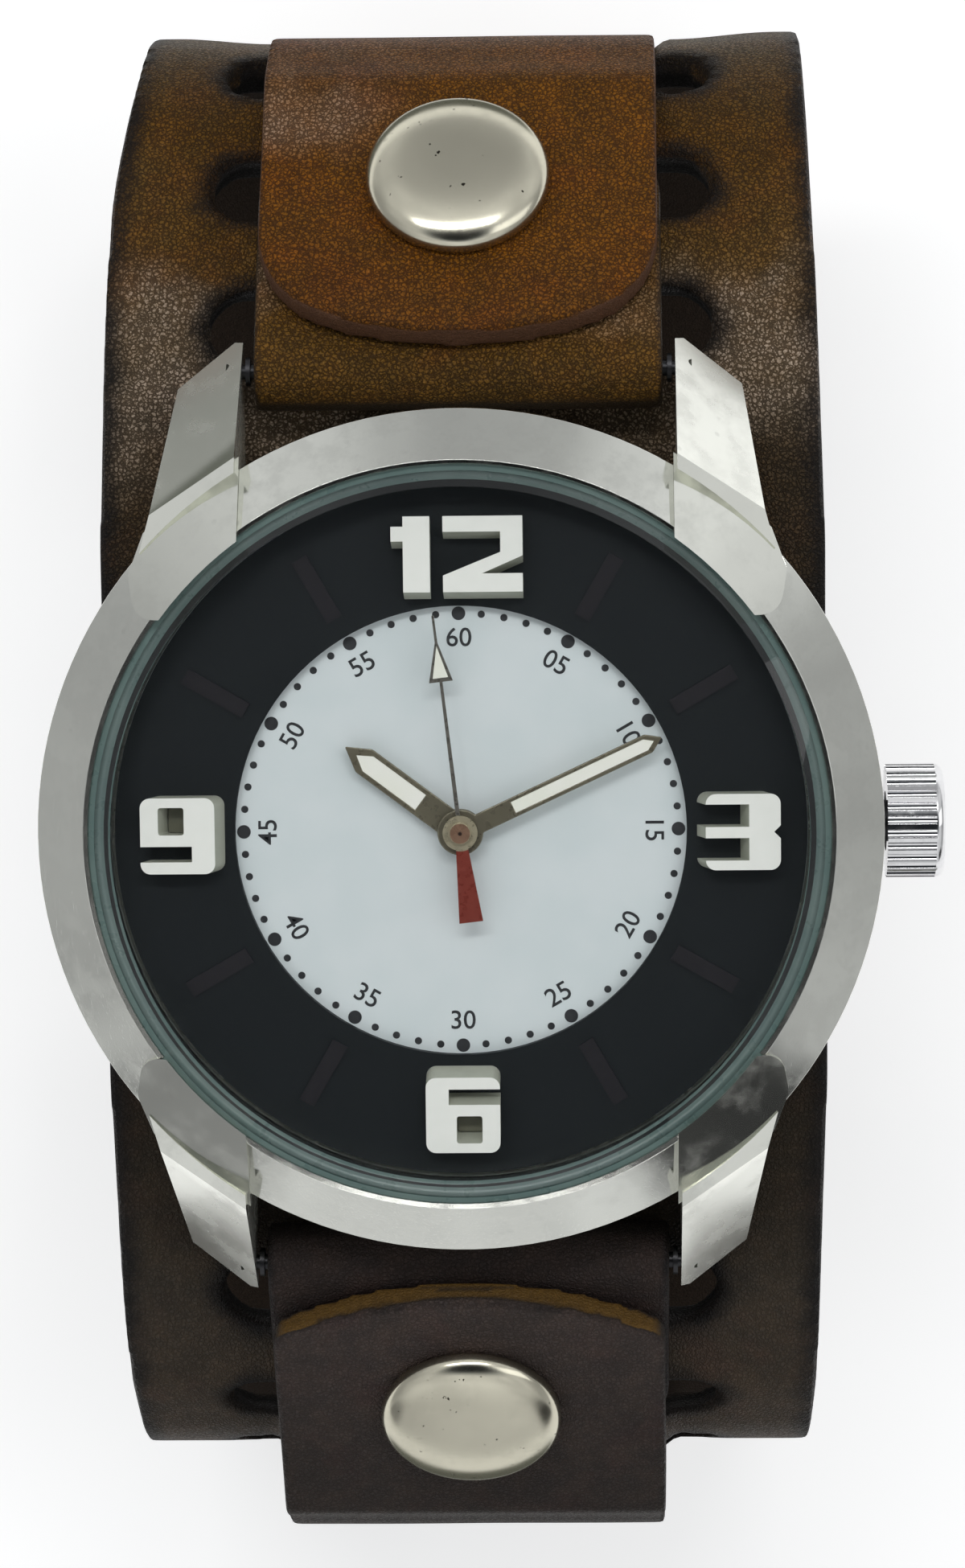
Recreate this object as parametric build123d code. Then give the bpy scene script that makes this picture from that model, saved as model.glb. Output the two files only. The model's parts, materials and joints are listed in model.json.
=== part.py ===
from build123d import *
import math
import os

# Leather cuff watch, dial up, standing on the underside of its buckled band.
# +X points to 3 o'clock, +Y to 12 o'clock and +Z up. Millimetres and degrees.
# The head is drawn about the dial's top surface and lifted to its height at the end,
# so heights named with _z are measured from the dial, up being positive.

# Case, bezel and glass
case_r = 22.6
bezel_over = 0.4
bezel_r = case_r + bezel_over
bezel_edge_z = 1.75
bezel_skirt_z = 0.5
bezel_base_z = 0.2
case_wall = 3.6
dial_seat_r = case_r - case_wall
bezel_bore_r = dial_seat_r
bezel_chamfer = 0.25
bezel_face_w = 3.28
glass_r = bezel_r - bezel_face_w
glass_bevel_w = 0.82
glass_flat_r = glass_r - glass_bevel_w
glass_top_z = 4.3
glass_edge_z = 3.75
glass_seat_z = 2.45
gasket_wall = 0.34
gasket_top_z = 3.5
bezel_lip_z = 3.95
case_taper = 2.0
case_base_r = case_r - case_taper
case_chamfer_z = -4.7
case_base_z = -5.5
dial_t = 0.4
dial_ledge = 2.0
cavity_r = dial_seat_r - dial_ledge
back_seat_z = -4.4
back_ledge = 0.5
back_r = cavity_r + back_ledge
back_rim_w = 2.3
back_step_r = back_r - back_rim_w
back_base_z = -6.0
back_gasket_wall = 0.9
back_gasket_t = 0.35
back_notches = 6
back_notch_size = 2.0
back_notch_depth = 0.5

# The strap sets the widths of its loops, lugs, slots, cuff and buckle
strap_w = 22.0
loop_over = 0.4
loop_w = strap_w + loop_over

# Lugs and their hoods over the bezel; the spring bars set where they end
bar_gap = 2.3
bar_y = case_r + bar_gap
lug_side_gap = 0.7
lug_inner_x = loop_w / 2 + lug_side_gap
lug_w = 4.7
lug_outer_x = lug_inner_x + lug_w
lug_tip_w = 3.3
lug_tip_outer_x = lug_inner_x + lug_tip_w
lug_slope_run = 4.4
lug_break_y = bar_y - lug_slope_run
lug_break_z = 2.8
lug_outer_run = 7.5
lug_break_outer_y = bar_y - lug_outer_run
lug_break_outer_z = 2.0
lug_past_bar = 1.6
lug_tip_y = bar_y + lug_past_bar
lug_tip_z = -5.0
lug_run = 11.9
lug_root_y = bar_y - lug_run
hood_overlap = 0.2
hood_inner_x = lug_inner_x - hood_overlap
hood_run = 13.0
hood_reach_y = bar_y - hood_run
hood_end_out = 0.7
hood_end_x = lug_outer_x + hood_end_out
hood_outer_out = 1.15
hood_outer_x = lug_outer_x + hood_outer_out
hood_outer_run = 10.7
hood_outer_y = bar_y - hood_outer_run
hood_thick = 0.95
hood_corner_r = 1.2
hood_sink = 0.25
hood_rim_z = 4.25

# Dial, chapter ring and raised numerals
dial_play = 0.1
dial_r = dial_seat_r - dial_play
black_ring_w = 6.6
white_r = dial_r - black_ring_w
chapter_t = 0.55
chapter_play = 0.05
chapter_r = dial_r - chapter_play
index_in_gap = 1.1
index_in_r = white_r + index_in_gap
index_out_gap = 1.65
index_out_r = chapter_r - index_out_gap
index_w = 0.9
index_t = 0.12
numeral_h = 1.3
numeral_lean = 0.45
numeral_stroke = 1.0
twelve_w = 7.1
twelve_h = 4.1
one_w = 2.1
two_w = 4.3
digit_w = 4.05
digit_h = 4.15
twelve_out = 2.65
twelve_y = white_r + twelve_out
six_out = 2.9
six_y = white_r + six_out
side_out = 2.8
side_x = white_r + side_out

# Hands, stacked on three coaxial tubes
second_arbor_r = 0.14
cannon_bore_r = 0.19
cannon_r = 0.36
hour_bore_r = 0.41
hour_tube_r = 0.6
hand_fit = 0.01
hand_t = 0.2
hour_hand_z = 0.55
minute_hand_z = 0.95
second_hand_z = 1.35
hour_gap = 4.5
hour_len = white_r - hour_gap
hour_w = 1.55
hour_point = 1.3
hour_lume_in = 2.7
hour_frame = 0.28
minute_gap = 0.2
minute_len = white_r - minute_gap
minute_w = 1.08
minute_point = 0.8
minute_lume_in = 3.2
minute_frame = 0.22
hub_r = 1.25
second_hub_r = 0.95
second_gap = 0.4
second_len = white_r - second_gap
second_w = 0.26
second_needle = 1.2
second_flag_out = second_len - second_needle
second_flag_len = 2.4
second_flag_in = second_flag_out - second_flag_len
second_flag_w = 1.3
second_tail = 4.9
second_tail_w = 1.3
second_cap_t = 0.25
hour_angle = 307.0
minute_angle = 65.0
second_angle = 353.5

# Movement
plate_r = 12.8
plate_top_z = -1.2
plate_base_z = -1.9
spacer_play = 0.1
spacer_r = cavity_r - spacer_play
spacer_top_z = -0.5
spacer_base_z = -4.2
pivot_r = 0.14
pivot_play = 0.04
wheel_t = 0.2
gear_space = 0.05
bridge_top_z = -3.4
bridge_base_z = -3.8
bridge_half_w = 2.9
bridge_post_r = 0.65
bridge_left = (-9.0, 0.4)
bridge_right = (9.0, 4.0)
screw_head_r = 0.75
screw_head_t = 0.2
tooth_share = 0.36
tip_share = 0.2
head_share = 0.8
foot_share = 1.15
hour_module = 0.1056
cannon_module = 0.11
third_module = 0.12
centre_module = 0.12706
fourth_module = 0.172
fifth_module = 0.12
minute_wheel_bearing = 300.0
third_bearing = 160.0
fifth_bearing = 20.0
rotor_bearing = 40.0
hour_layer_z = -0.75
minute_layer_z = -1.1
centre_layer_z = -2.3
third_layer_z = -2.7
fourth_layer_z = -3.15
rotor_r = 0.9
rotor_z = -2.4
rotor_t = 0.4
stator_w = 3.5
stator_top_z = -2.0
stator_t = 0.35
stator_gap = 0.3
coil_y = 9.0
coil_r = 1.0
coil_len = 6.2
coil_x = 1.2
coil_z = -3.0
core_w = 0.7
core_len = 12.6
battery_x = -4.2
battery_y = -7.6
battery_r = 3.4
battery_top_z = -1.95
battery_t = 2.1
clamp_w = 2.0
clamp_t = 0.12
board_x = -7.2
board_y = 6.9
board_l = 4.6
board_w = 3.6
board_t = 0.2
quartz_r = 0.5
quartz_len = 3.4

# Crown and stem
crown_z = -2.4
crown_r = 3.1
crown_gap = 0.25
crown_start = bezel_r + crown_gap
crown_len = 3.15
crown_end = crown_start + crown_len
crown_round = 0.5
crown_flutes = 26
crown_flute_r = 0.26
crown_bore_r = 1.65
crown_cap_t = 1.25
crown_bore_end = crown_end - crown_cap_t
tube_r = 1.15
tube_bore_r = 0.52
tube_sunk = 4.2
tube_start = case_r - tube_sunk
tube_out = 2.3
tube_end = case_r + tube_out
tube_press = 0.01
oring_wire_r = 0.22
oring_out = 1.0
oring_x = case_r + oring_out
stem_r = 0.45
stem_start = 8.9
stem_groove_x = 10.6
stem_groove_w = 0.5
stem_groove_r = 0.28
stem_hole_play = 0.06
lever_l = 1.6
lever_w = 3.6
lever_t = 0.35
lever_z = -2.95
lever_finger_w = 0.4
lever_boss_w = 0.8

# Spring bars
bar_z = -4.4
bar_tube_r = 0.75
bar_tube_in = 2.3
bar_tube_half = lug_inner_x - bar_tube_in
bar_tube_bore_r = 0.5
bar_pin_r = 0.45
bar_pin_in = 5.3
bar_pin_start = lug_inner_x - bar_pin_in
bar_flange_r = 0.8
bar_flange_t = 0.25
bar_flange_in = 0.95
bar_flange_a = lug_inner_x - bar_flange_in
bar_flange_w = 0.5
bar_flange_b = bar_flange_a + bar_flange_w
bar_tip_r = 0.4
bar_tip_out = 0.7
bar_tip_end = lug_inner_x + bar_tip_out
lug_hole_r = 0.45
lug_hole_deep = 0.9
lug_hole_end = lug_inner_x + lug_hole_deep

# Cuff: an oval loop of leather with slots, open under the wrist
cuff_past_bar = 17.6
cuff_reach = bar_y + cuff_past_bar
cuff_height = 38.7
cuff_t = 2.2
back_gap = 0.3
cuff_slope = 35.5
shoulder_r = 29.0
hip_r = 10.6
side_flat = 3.32
cuff_wing_w = 9.2
cuff_half_w = strap_w / 2 + cuff_wing_w
cuff_narrowing = 0.8
cuff_end_half_w = cuff_half_w - cuff_narrowing
cuff_side_y = 15.0
cuff_gap_half = 17.2
cuff_corner_r = 5.0
slot_over = 6.0
slot_len = strap_w + slot_over
slot_w = 4.0
slot_one_out = 2.4
slot_one_y = bar_y + slot_one_out
slot_two_out = 10.2
slot_two_y = bar_y + slot_two_out
slot_three_in = 1.1
slot_three_y = cuff_reach - slot_three_in

# Straps, laid over the cuff
layer_gap = 0.3
touch_gap = 0.15
strap_t = 1.8
loop_t = 1.3
loop_bore_r = 0.9
loop_out = 5.6
loop_end_rise = 2.4
loop_end_corner = 4.0
tab_in = 10.0
tab_rise_12 = 3.0
tab_corner_12 = 6.0
tab_rise_6 = 3.2
tab_corner_6 = 2.0
tab_hip_r = 9.6
leg_bend_r = 1.3
leg_drop_out = 2.0
leg_drop_y = bar_y + leg_drop_out
leg_turn_lean = 20.0
leg_end_lean = 28.0
leg_tip = 0.5

# Snaps
snap_out_12 = 10.4
snap_y_12 = bar_y + snap_out_12
snap_out_6 = 8.85
snap_y_6 = bar_y + snap_out_6
cap_r = 5.1
cap_dome = 1.5
cap_rim = 0.35
cap_post_r = 1.2
cap_post_len = 0.7
post_play = 0.06
socket_r = 2.6
socket_bore_r = 1.75
stud_r = 1.4
stud_head_r = 1.65
stud_head_t = 0.5
stud_reach = 0.9
stud_flange_r = 3.2
stud_flange_t = 0.22

# Buckle, tail and keepers under the wrist
tail_lead = 21.5
tail_start_y = tail_lead - cuff_reach
tail_dip = 8.0
tail_down_y = tail_start_y + tail_dip
buckle_in = 10.0
buckle_y = tail_start_y + buckle_in
buckle_bar_r = 0.6
buckle_bar_play = 0.05
fold_leg = 4.0
fold_slot_w = 3.0
frame_side_gap = 0.8
frame_in_w = strap_w + frame_side_gap
frame_arm_w = 1.5
frame_len = 11.5
frame_front_y = buckle_y - frame_len
frame_front_r = 0.9
frame_front_gap = 0.2
frame_hub_r = 1.3
tongue_w = 1.6
tongue_t = 1.0
tongue_hub_r = 1.2
tongue_over = 1.2
tongue_bend = 2.0
tongue_bend_r = 3.0
tongue_gap = 0.2
tail_tip_y = 21.0
tail_bend_r = 6.0
tail_tip_rise = 4.5
tail_tip_corner = 3.0
tail_hole_in = 4.6
tail_hole_y = tail_start_y + tail_hole_in
tail_hole_len = 7.4
tail_hole_w = 3.1
tail_round_hole_r = 1.1
tail_round_holes = (-8.0, 4.8, 17.6)
keeper_t = 1.2
keeper_gap = 0.15
fixed_keeper_y = (-6.5, 1.0)
free_keeper_y = (9.0, 14.5)

# How far a cut runs past what it cuts
overrun = 0.6

# Heights that follow from the stack
cuff_top_z = back_base_z - back_gap
cuff_base_z = cuff_top_z - cuff_height
strap_mid = layer_gap + strap_t / 2
tab_mid = layer_gap + loop_t + touch_gap + strap_t / 2
inner_strap_z = cuff_base_z - strap_mid
buckle_z = inner_strap_z + buckle_bar_r + buckle_bar_play + strap_t / 2
tail_z = inner_strap_z - strap_t - layer_gap
floor_z = tail_z - strap_t / 2 - keeper_gap - keeper_t
dial_height = -floor_z


def ring(outer_r, inner_r, low, high):
    """A plain ring about the Z axis from height low to height high."""
    height = high - low
    sketch = Circle(outer_r) - Circle(inner_r)
    return Pos(0, 0, low) * extrude(sketch, height)


def disc(radius, low, high):
    """A plain disc about the Z axis."""
    return Pos(0, 0, low) * extrude(Circle(radius), high - low)


def turned(points):
    """A solid turned about the Z axis from (radius, height) points."""
    profile = make_face(Polyline(*points, close=True))
    return revolve(Plane.XZ * profile, Axis.Z)


def along_x(profile, start, end):
    """Extrude a face drawn about the X axis from X start to X end."""
    plane = Plane(origin=(start, 0, 0), x_dir=(0, 1, 0), z_dir=(1, 0, 0))
    return extrude(plane * profile, end - start)


def side_profile(face, width):
    """Extrude a face drawn in (Y, Z) to a width centred on X."""
    return extrude(Plane.YZ * face, width / 2, both=True)


def clockwise(angle):
    """Turn a hand drawn pointing to 12 to its reading on the dial."""
    return Rot(0, 0, -angle)


def both_ends(solid):
    """The solid and its mirror image across the XZ plane."""
    return [solid, mirror(solid, about=Plane.XZ)]


# Loop geometry: each layer of leather is the cuff's outline pushed out by an offset.
# The loops leave the spring bars in a straight line that sets the cuff's sloping sides.

slope_sin = math.sin(math.radians(cuff_slope))
slope_cos = math.cos(math.radians(cuff_slope))
slope_tan = slope_sin / slope_cos
loop_mid = layer_gap + loop_t / 2
wrap_r = loop_bore_r + loop_t / 2
tab_top = tab_mid + strap_t / 2


def slope_z(y, offset):
    """Height of the sloping side at Y, pushed out along its normal by offset."""
    return bar_z - (y - bar_y) * slope_tan + (wrap_r - loop_mid + offset) / slope_cos


def crown_corner(offset):
    """Where the flat top and the sloping side would meet."""
    z = cuff_top_z + offset
    y = bar_y + (slope_z(bar_y, offset) - z) / slope_tan
    return (y, z)


def hip_corner(slope_offset, side_offset):
    """Where the sloping side and the upright side would meet."""
    y = cuff_reach + side_offset
    return (y, slope_z(y, slope_offset))


def base_corner(offset):
    """Where the upright side and the flat underside would meet."""
    return (cuff_reach + offset, cuff_base_z - offset)


# The upright side keeps a short flat between the hip's arc and the lower arc
hip_tangent = hip_r * math.tan(math.radians((90 - cuff_slope) / 2))
base_r = slope_z(cuff_reach, 0) - cuff_base_z - hip_tangent - side_flat


def flipped(point):
    """A (Y, Z) point carried over to the 6 o'clock side."""
    return (-point[0], point[1])


def cuff_outline(offset):
    """The closed oval of the cuff's outer surface, pushed out by offset."""
    right = [crown_corner(offset), hip_corner(offset, offset), base_corner(offset)]
    left = [flipped(point) for point in reversed(right)]
    radii = [shoulder_r + offset, hip_r + offset, base_r + offset]
    return make_face(FilletPolyline(*right, *left, close=True, radius=radii + radii[::-1]))


# Centres of the two arcs on each side of the cuff's outline, above and below the slope
shoulder_y = crown_corner(0)[0] - shoulder_r * math.tan(math.radians(cuff_slope / 2))
shoulder_z = cuff_top_z - shoulder_r
hip_y = cuff_reach - hip_r
hip_start_y = hip_y + hip_r * slope_sin
hip_z = slope_z(hip_start_y, 0) - hip_r * slope_cos


def slope_plane(offset, seat_y):
    """The slope about a snap: Z along its normal, Y running outward and down.

    seat_y is where the snap's axis leaves the strap's outer face.
    """
    y = seat_y + (offset - tab_top) * slope_sin
    origin = (0, y, slope_z(y, offset))
    return Plane(origin=origin, x_dir=(1, 0, 0), z_dir=(0, slope_sin, slope_cos))


def surface_plane(y):
    """The cuff's outer surface at Y on the 12 o'clock side."""
    if y > hip_start_y:
        lean = math.asin((y - hip_y) / hip_r)
        z = hip_z + hip_r * math.cos(lean)
    elif y > shoulder_y + shoulder_r * slope_sin:
        lean = math.radians(cuff_slope)
        z = slope_z(y, 0)
    else:
        lean = math.asin((y - shoulder_y) / shoulder_r)
        z = shoulder_z + shoulder_r * math.cos(lean)
    return Plane(origin=(0, y, z), x_dir=(1, 0, 0), z_dir=(0, math.sin(lean), math.cos(lean)))


def shoulder_point(radius, lean, lean_step=0.0):
    """A point on the shoulder's arc, or the tangents' corner half a step either side."""
    reach = radius / math.cos(math.radians(lean_step / 2))
    angle = math.radians(lean)
    return (shoulder_y + reach * math.sin(angle), shoulder_z + reach * math.cos(angle))


def end_cut(plane, half_w, end, rise, corner, depth):
    """What a strap loses where its end is arched; the apex lies at -Y of the plane."""
    arc = ThreePointArc((-half_w, rise - end), (0, -end), (half_w, rise - end))
    sides = Polyline((half_w, rise - end), (half_w, 0), (-half_w, 0), (-half_w, rise - end))
    kept = make_face(arc.edges() + sides.edges())
    kept = fillet(kept.vertices().group_by(Axis.Y)[0], corner)
    length = end + 2 * overrun
    blank = Pos(0, -length / 2) * Rectangle(2 * half_w + 2 * overrun, length)
    return extrude(plane * (blank - kept), depth, both=True)


# Case


def lug_blank():
    """One lug at the 12 o'clock, 3 o'clock corner, before its top facets are cut."""
    plan = Polyline(
        (lug_inner_x, lug_root_y),
        (hood_outer_x, lug_root_y),
        (lug_outer_x, lug_break_outer_y),
        (lug_tip_outer_x, lug_tip_y),
        (lug_inner_x, lug_tip_y),
        close=True,
    )
    blank = extrude(make_face(plan), lug_break_z + hood_rim_z - case_base_z)
    blank = Pos(0, 0, case_base_z) * blank
    inner_break = Vector(lug_inner_x, lug_break_y, lug_break_z)
    outer_break = Vector(lug_outer_x, lug_break_outer_y, lug_break_outer_z)
    tip = Vector(lug_inner_x, lug_tip_y, lug_tip_z)
    rim = Vector(lug_inner_x, math.sqrt(glass_r**2 - lug_inner_x**2), hood_rim_z)
    for corner in (tip, rim):
        across = outer_break - inner_break
        normal = across.cross(corner - inner_break)
        if normal.Z < 0:
            normal = -normal
        facet = Plane(origin=inner_break, x_dir=across, z_dir=normal)
        blank = split(blank, bisect_by=facet, keep=Keep.BOTTOM)
    return blank


def hood_plan():
    """Outline of a hood, from the lug to its rounded end at the glass."""
    return make_face(
        FilletPolyline(
            (hood_inner_x, lug_break_y),
            (hood_inner_x, hood_reach_y),
            (hood_end_x, hood_reach_y),
            (hood_outer_x, hood_outer_y),
            (lug_outer_x, lug_break_outer_y),
            close=True,
            radius=[0, 0, hood_corner_r, hood_corner_r, 0],
        )
    )


def cone_profile(rise):
    """A ring section following the bezel's cone, raised by rise."""
    outer = bezel_r + overrun
    fall = (bezel_lip_z - bezel_edge_z) / (bezel_r - glass_r - gasket_wall)
    start_r = glass_r + gasket_wall / 2
    start_z = bezel_lip_z + rise
    end_z = start_z - (outer - start_r) * fall
    return start_r, start_z, outer, end_z


def hood():
    """One hood: a tongue of even thickness lying on the bezel's cone."""
    low_r, low_z, out_r, low_out_z = cone_profile(-hood_sink)
    top_r, top_z, _, top_out_z = cone_profile(hood_thick - hood_sink)
    shell = turned([(low_r, low_z), (out_r, low_out_z), (out_r, top_out_z), (top_r, top_z)])
    plan = extrude(hood_plan(), hood_rim_z + bezel_lip_z)
    return shell & plan


def lug_corner():
    """A lug joined to its hood, with the hole for the spring bar's tip."""
    lug = lug_blank()
    lug -= disc(bezel_r, bezel_base_z, 2 * hood_rim_z)
    lug += hood()
    hole = along_x(Pos(bar_y, bar_z) * Circle(lug_hole_r), lug_inner_x - overrun, lug_hole_end)
    lug -= hole
    return lug


def case_body():
    """Mid-case turned about the dial's axis, with four lugs."""
    body = turned(
        [
            (dial_seat_r, bezel_base_z),
            (case_r, bezel_base_z),
            (case_r, case_chamfer_z),
            (case_base_r, case_base_z),
            (back_r, case_base_z),
            (back_r, back_seat_z),
            (cavity_r, back_seat_z),
            (cavity_r, -dial_t),
            (dial_seat_r, -dial_t),
        ]
    )
    corner = lug_corner()
    corner -= disc(case_r - overrun, case_base_z - overrun, bezel_base_z)
    right = [corner, mirror(corner, about=Plane.XZ)]
    left = [mirror(lug, about=Plane.YZ) for lug in right]
    for lug in right + left:
        body += lug
    tube_hole = along_x(Pos(0, crown_z) * Circle(tube_r), cavity_r - overrun, case_r + overrun)
    return body - tube_hole


def bezel_ring():
    """Bezel with a sloping top face, a seat for the glass and pockets for the hoods."""
    wall_r = glass_r + gasket_wall
    ring_body = turned(
        [
            (bezel_bore_r, bezel_base_z),
            (case_r, bezel_base_z),
            (bezel_r, bezel_skirt_z),
            (bezel_r, bezel_edge_z),
            (wall_r + bezel_chamfer, bezel_lip_z),
            (wall_r, bezel_lip_z - bezel_chamfer),
            (wall_r, glass_seat_z),
            (bezel_bore_r, glass_seat_z),
        ]
    )
    pocket = hood()
    pockets = [pocket, mirror(pocket, about=Plane.XZ)]
    pockets += [mirror(side, about=Plane.YZ) for side in pockets]
    for side in pockets:
        ring_body -= side
    return ring_body


def crystal():
    """Flat glass with a bevelled edge."""
    return turned(
        [
            (0, glass_seat_z),
            (glass_r, glass_seat_z),
            (glass_r, glass_edge_z),
            (glass_flat_r, glass_top_z),
            (0, glass_top_z),
        ]
    )


def case_back():
    """Stepped back cover with key notches round its edge."""
    step_z = case_base_z + back_gasket_t
    cover = turned(
        [
            (0, back_seat_z - back_gasket_t),
            (back_r - hand_fit, back_seat_z - back_gasket_t),
            (back_r - hand_fit, step_z),
            (back_step_r, back_base_z),
            (0, back_base_z),
        ]
    )
    notch = Box(back_notch_size, back_notch_size, back_notch_depth)
    height = back_base_z + back_notch_depth / 2
    for place in PolarLocations(back_step_r, back_notches):
        cover -= Pos(0, 0, height) * place * notch
    return cover


# Dial


def chapter_ring():
    """Dark outer ring with eight low hour bars."""
    body = ring(chapter_r, white_r, 0, chapter_t)
    length = index_out_r - index_in_r
    bar = Box(index_w, length, index_t, align=(Align.CENTER, Align.MIN, Align.MIN))
    for hour in (1, 2, 4, 5, 7, 8, 10, 11):
        body += clockwise(hour * 30) * Pos(0, index_in_r, chapter_t) * bar
    return body


def rect(left, right, low, high):
    """A rectangle by its sides."""
    return Pos((left + right) / 2, (low + high) / 2) * Rectangle(right - left, high - low)


def numeral_one():
    """A slab with a short flag."""
    half = twelve_h / 2
    stem = rect(one_w - 1.45 * numeral_stroke, one_w, -half, half)
    flag = rect(0, one_w, half - 1.35 * numeral_stroke, half - 0.55 * numeral_stroke)
    return stem + flag


def numeral_two():
    """Squared two: top bar, right side, slanting foot and base."""
    half = twelve_h / 2
    stroke = numeral_stroke
    outline = Polyline(
        (0, half),
        (two_w, half),
        (two_w, -0.1 * stroke),
        (2.1 * stroke, stroke - half),
        (two_w, stroke - half),
        (two_w, -half),
        (0, -half),
        (0, 0.9 * stroke - half),
        (two_w - 1.2 * stroke, 0.1 * stroke),
        (two_w - 1.2 * stroke, half - 0.85 * stroke),
        (0, half - 0.85 * stroke),
        close=True,
    )
    return make_face(outline)


def squared_block():
    """The rounded block that 3, 6 and 9 are cut from."""
    return RectangleRounded(digit_w, digit_h, numeral_stroke * 0.55)


def numeral_three():
    """Block open to the left by two slots, with a notch at its right side."""
    half_w = digit_w / 2
    block = squared_block()
    upper = rect(-half_w, half_w - 1.7 * numeral_stroke, 0.28 * numeral_stroke, 1.5 * numeral_stroke)
    lower = rect(-half_w, half_w - 1.7 * numeral_stroke, -1.55 * numeral_stroke, -0.33 * numeral_stroke)
    notch = Pos(half_w, 0) * Rot(0, 0, 45) * Rectangle(0.5 * numeral_stroke, 0.5 * numeral_stroke)
    return block - upper - lower - notch


def numeral_nine():
    """Closed bowl above, slot and foot below."""
    half_w = digit_w / 2
    half_h = digit_h / 2
    block = squared_block()
    bowl = Pos(-0.35 * numeral_stroke, 0.8 * numeral_stroke) * RectangleRounded(
        1.4 * numeral_stroke, 1.5 * numeral_stroke, 0.15 * numeral_stroke
    )
    slot_low = 0.65 * numeral_stroke - half_h
    slot_high = 1.5 * numeral_stroke - half_h
    slot = rect(-half_w, half_w - 1.25 * numeral_stroke, slot_low, slot_high)
    return block - bowl - slot


def numeral_six():
    """The nine turned half round."""
    return Rot(0, 0, 180) * numeral_nine()


def raised(sketch, x, y):
    """Raise a numeral from the ring; it leans outward, so its inner flank shows."""
    reach = math.hypot(x, y)
    lean = Vector(x / reach * numeral_lean, y / reach * numeral_lean, numeral_h)
    base = Pos(x - lean.X / 2, y - lean.Y / 2, chapter_t) * sketch
    return extrude(base, lean.length, dir=lean)


def hour_numerals():
    """12, 3, 6 and 9 standing on the chapter ring."""
    left = -twelve_w / 2
    return [
        raised(Pos(left, 0) * numeral_one(), 0, twelve_y),
        raised(Pos(-left - two_w, 0) * numeral_two(), 0, twelve_y),
        raised(numeral_three(), side_x, 0),
        raised(numeral_six(), 0, -six_y),
        raised(numeral_nine(), -side_x, 0),
    ]


# Hands


def bar_hand(length, width, point, low):
    """A straight hand with a pointed tip, pointing to 12."""
    outline = Polyline(
        (-width / 2, 0),
        (-width / 2, length - point),
        (0, length),
        (width / 2, length - point),
        (width / 2, 0),
        close=True,
    )
    return Pos(0, 0, low) * extrude(make_face(outline) + Circle(hub_r), hand_t)


def lume_fill(length, width, point, frame, start, low):
    """The fill inside a hand's window."""
    half = width / 2 - frame
    end = length - point * 0.6
    outline = Polyline(
        (-half, start),
        (-half, end - point * 0.6),
        (0, end),
        (half, end - point * 0.6),
        (half, start),
        close=True,
    )
    return Pos(0, 0, low) * extrude(make_face(outline), hand_t)


def framed_hand(length, width, point, frame, start, low, bore_r):
    """A hand with its window cut out, and the fill that sits in it."""
    fill = lume_fill(length, width, point, frame, start, low)
    hand = bar_hand(length, width, point, low)
    hand -= fill
    hand -= disc(bore_r + hand_fit, low - overrun, low + hand_t + overrun)
    return hand, fill


def second_hand():
    """Needle with a framed flag near its tip and a widening tail."""
    needle = Polyline(
        (-second_w / 2, -second_tail / 2),
        (-second_w / 4, second_len),
        (second_w / 4, second_len),
        (second_w / 2, -second_tail / 2),
        close=True,
    )
    flag = Polyline(
        (-second_flag_w / 2, second_flag_in),
        (second_flag_w / 2, second_flag_in),
        (0, second_flag_out),
        close=True,
    )
    tail = Polyline(
        (-second_w, 0),
        (-second_tail_w / 2, -second_tail),
        (second_tail_w / 2, -second_tail),
        (second_w, 0),
        close=True,
    )
    face = make_face(needle) + make_face(flag) + make_face(tail) + Circle(second_hub_r)
    hand = Pos(0, 0, second_hand_z) * extrude(face, hand_t * 0.75)
    top = second_hand_z + hand_t * 0.75 + second_cap_t
    hand += disc(second_hub_r * 0.6, second_hand_z, top)
    hand -= disc(second_arbor_r + hand_fit, second_hand_z - overrun, second_hand_z + hand_t / 2)
    return hand


# Wheel train


def gear_face(teeth, module, turn):
    """A gear's outline with straight-sided teeth; the first tooth points along turn."""
    pitch_r = teeth * module / 2
    tip_r = pitch_r + head_share * module
    foot_r = pitch_r - foot_share * module
    pitch_angle = 360 / teeth
    points = []
    for tooth in range(teeth):
        centre = turn + tooth * pitch_angle
        foot_half = pitch_angle * (tooth_share + (tooth_share - tip_share)) / 2
        tip_half = pitch_angle * tip_share / 2
        for radius, angle in (
            (foot_r, centre - foot_half),
            (tip_r, centre - tip_half),
            (tip_r, centre + tip_half),
            (foot_r, centre + foot_half),
        ):
            across = math.cos(math.radians(angle))
            up = math.sin(math.radians(angle))
            points.append((radius * across, radius * up))
    return make_face(Polyline(*points, close=True))


def meshed_turn(driver_teeth, driver_turn, driven_teeth, bearing):
    """The turn that sets a driven gear's gap against the driver's tooth."""
    phase = (bearing - driver_turn) * driver_teeth / 360
    return bearing + 180 - (0.5 - phase) * 360 / driven_teeth


def polar(origin, distance, bearing):
    """A point at a distance and bearing from another."""
    angle = math.radians(bearing)
    return (origin[0] + distance * math.cos(angle), origin[1] + distance * math.sin(angle))


def gear(teeth, module, turn, low, thickness=wheel_t):
    """A toothed disc about the Z axis."""
    return Pos(0, 0, low) * extrude(gear_face(teeth, module, turn), thickness)


centre_at = (0.0, 0.0)
minute_wheel_at = polar(centre_at, cannon_module * 24, minute_wheel_bearing)
third_at = polar(centre_at, third_module * 36, third_bearing)
fifth_at = polar(centre_at, fourth_module * 24, fifth_bearing)
rotor_at = polar(fifth_at, fifth_module * 28, rotor_bearing)


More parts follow.
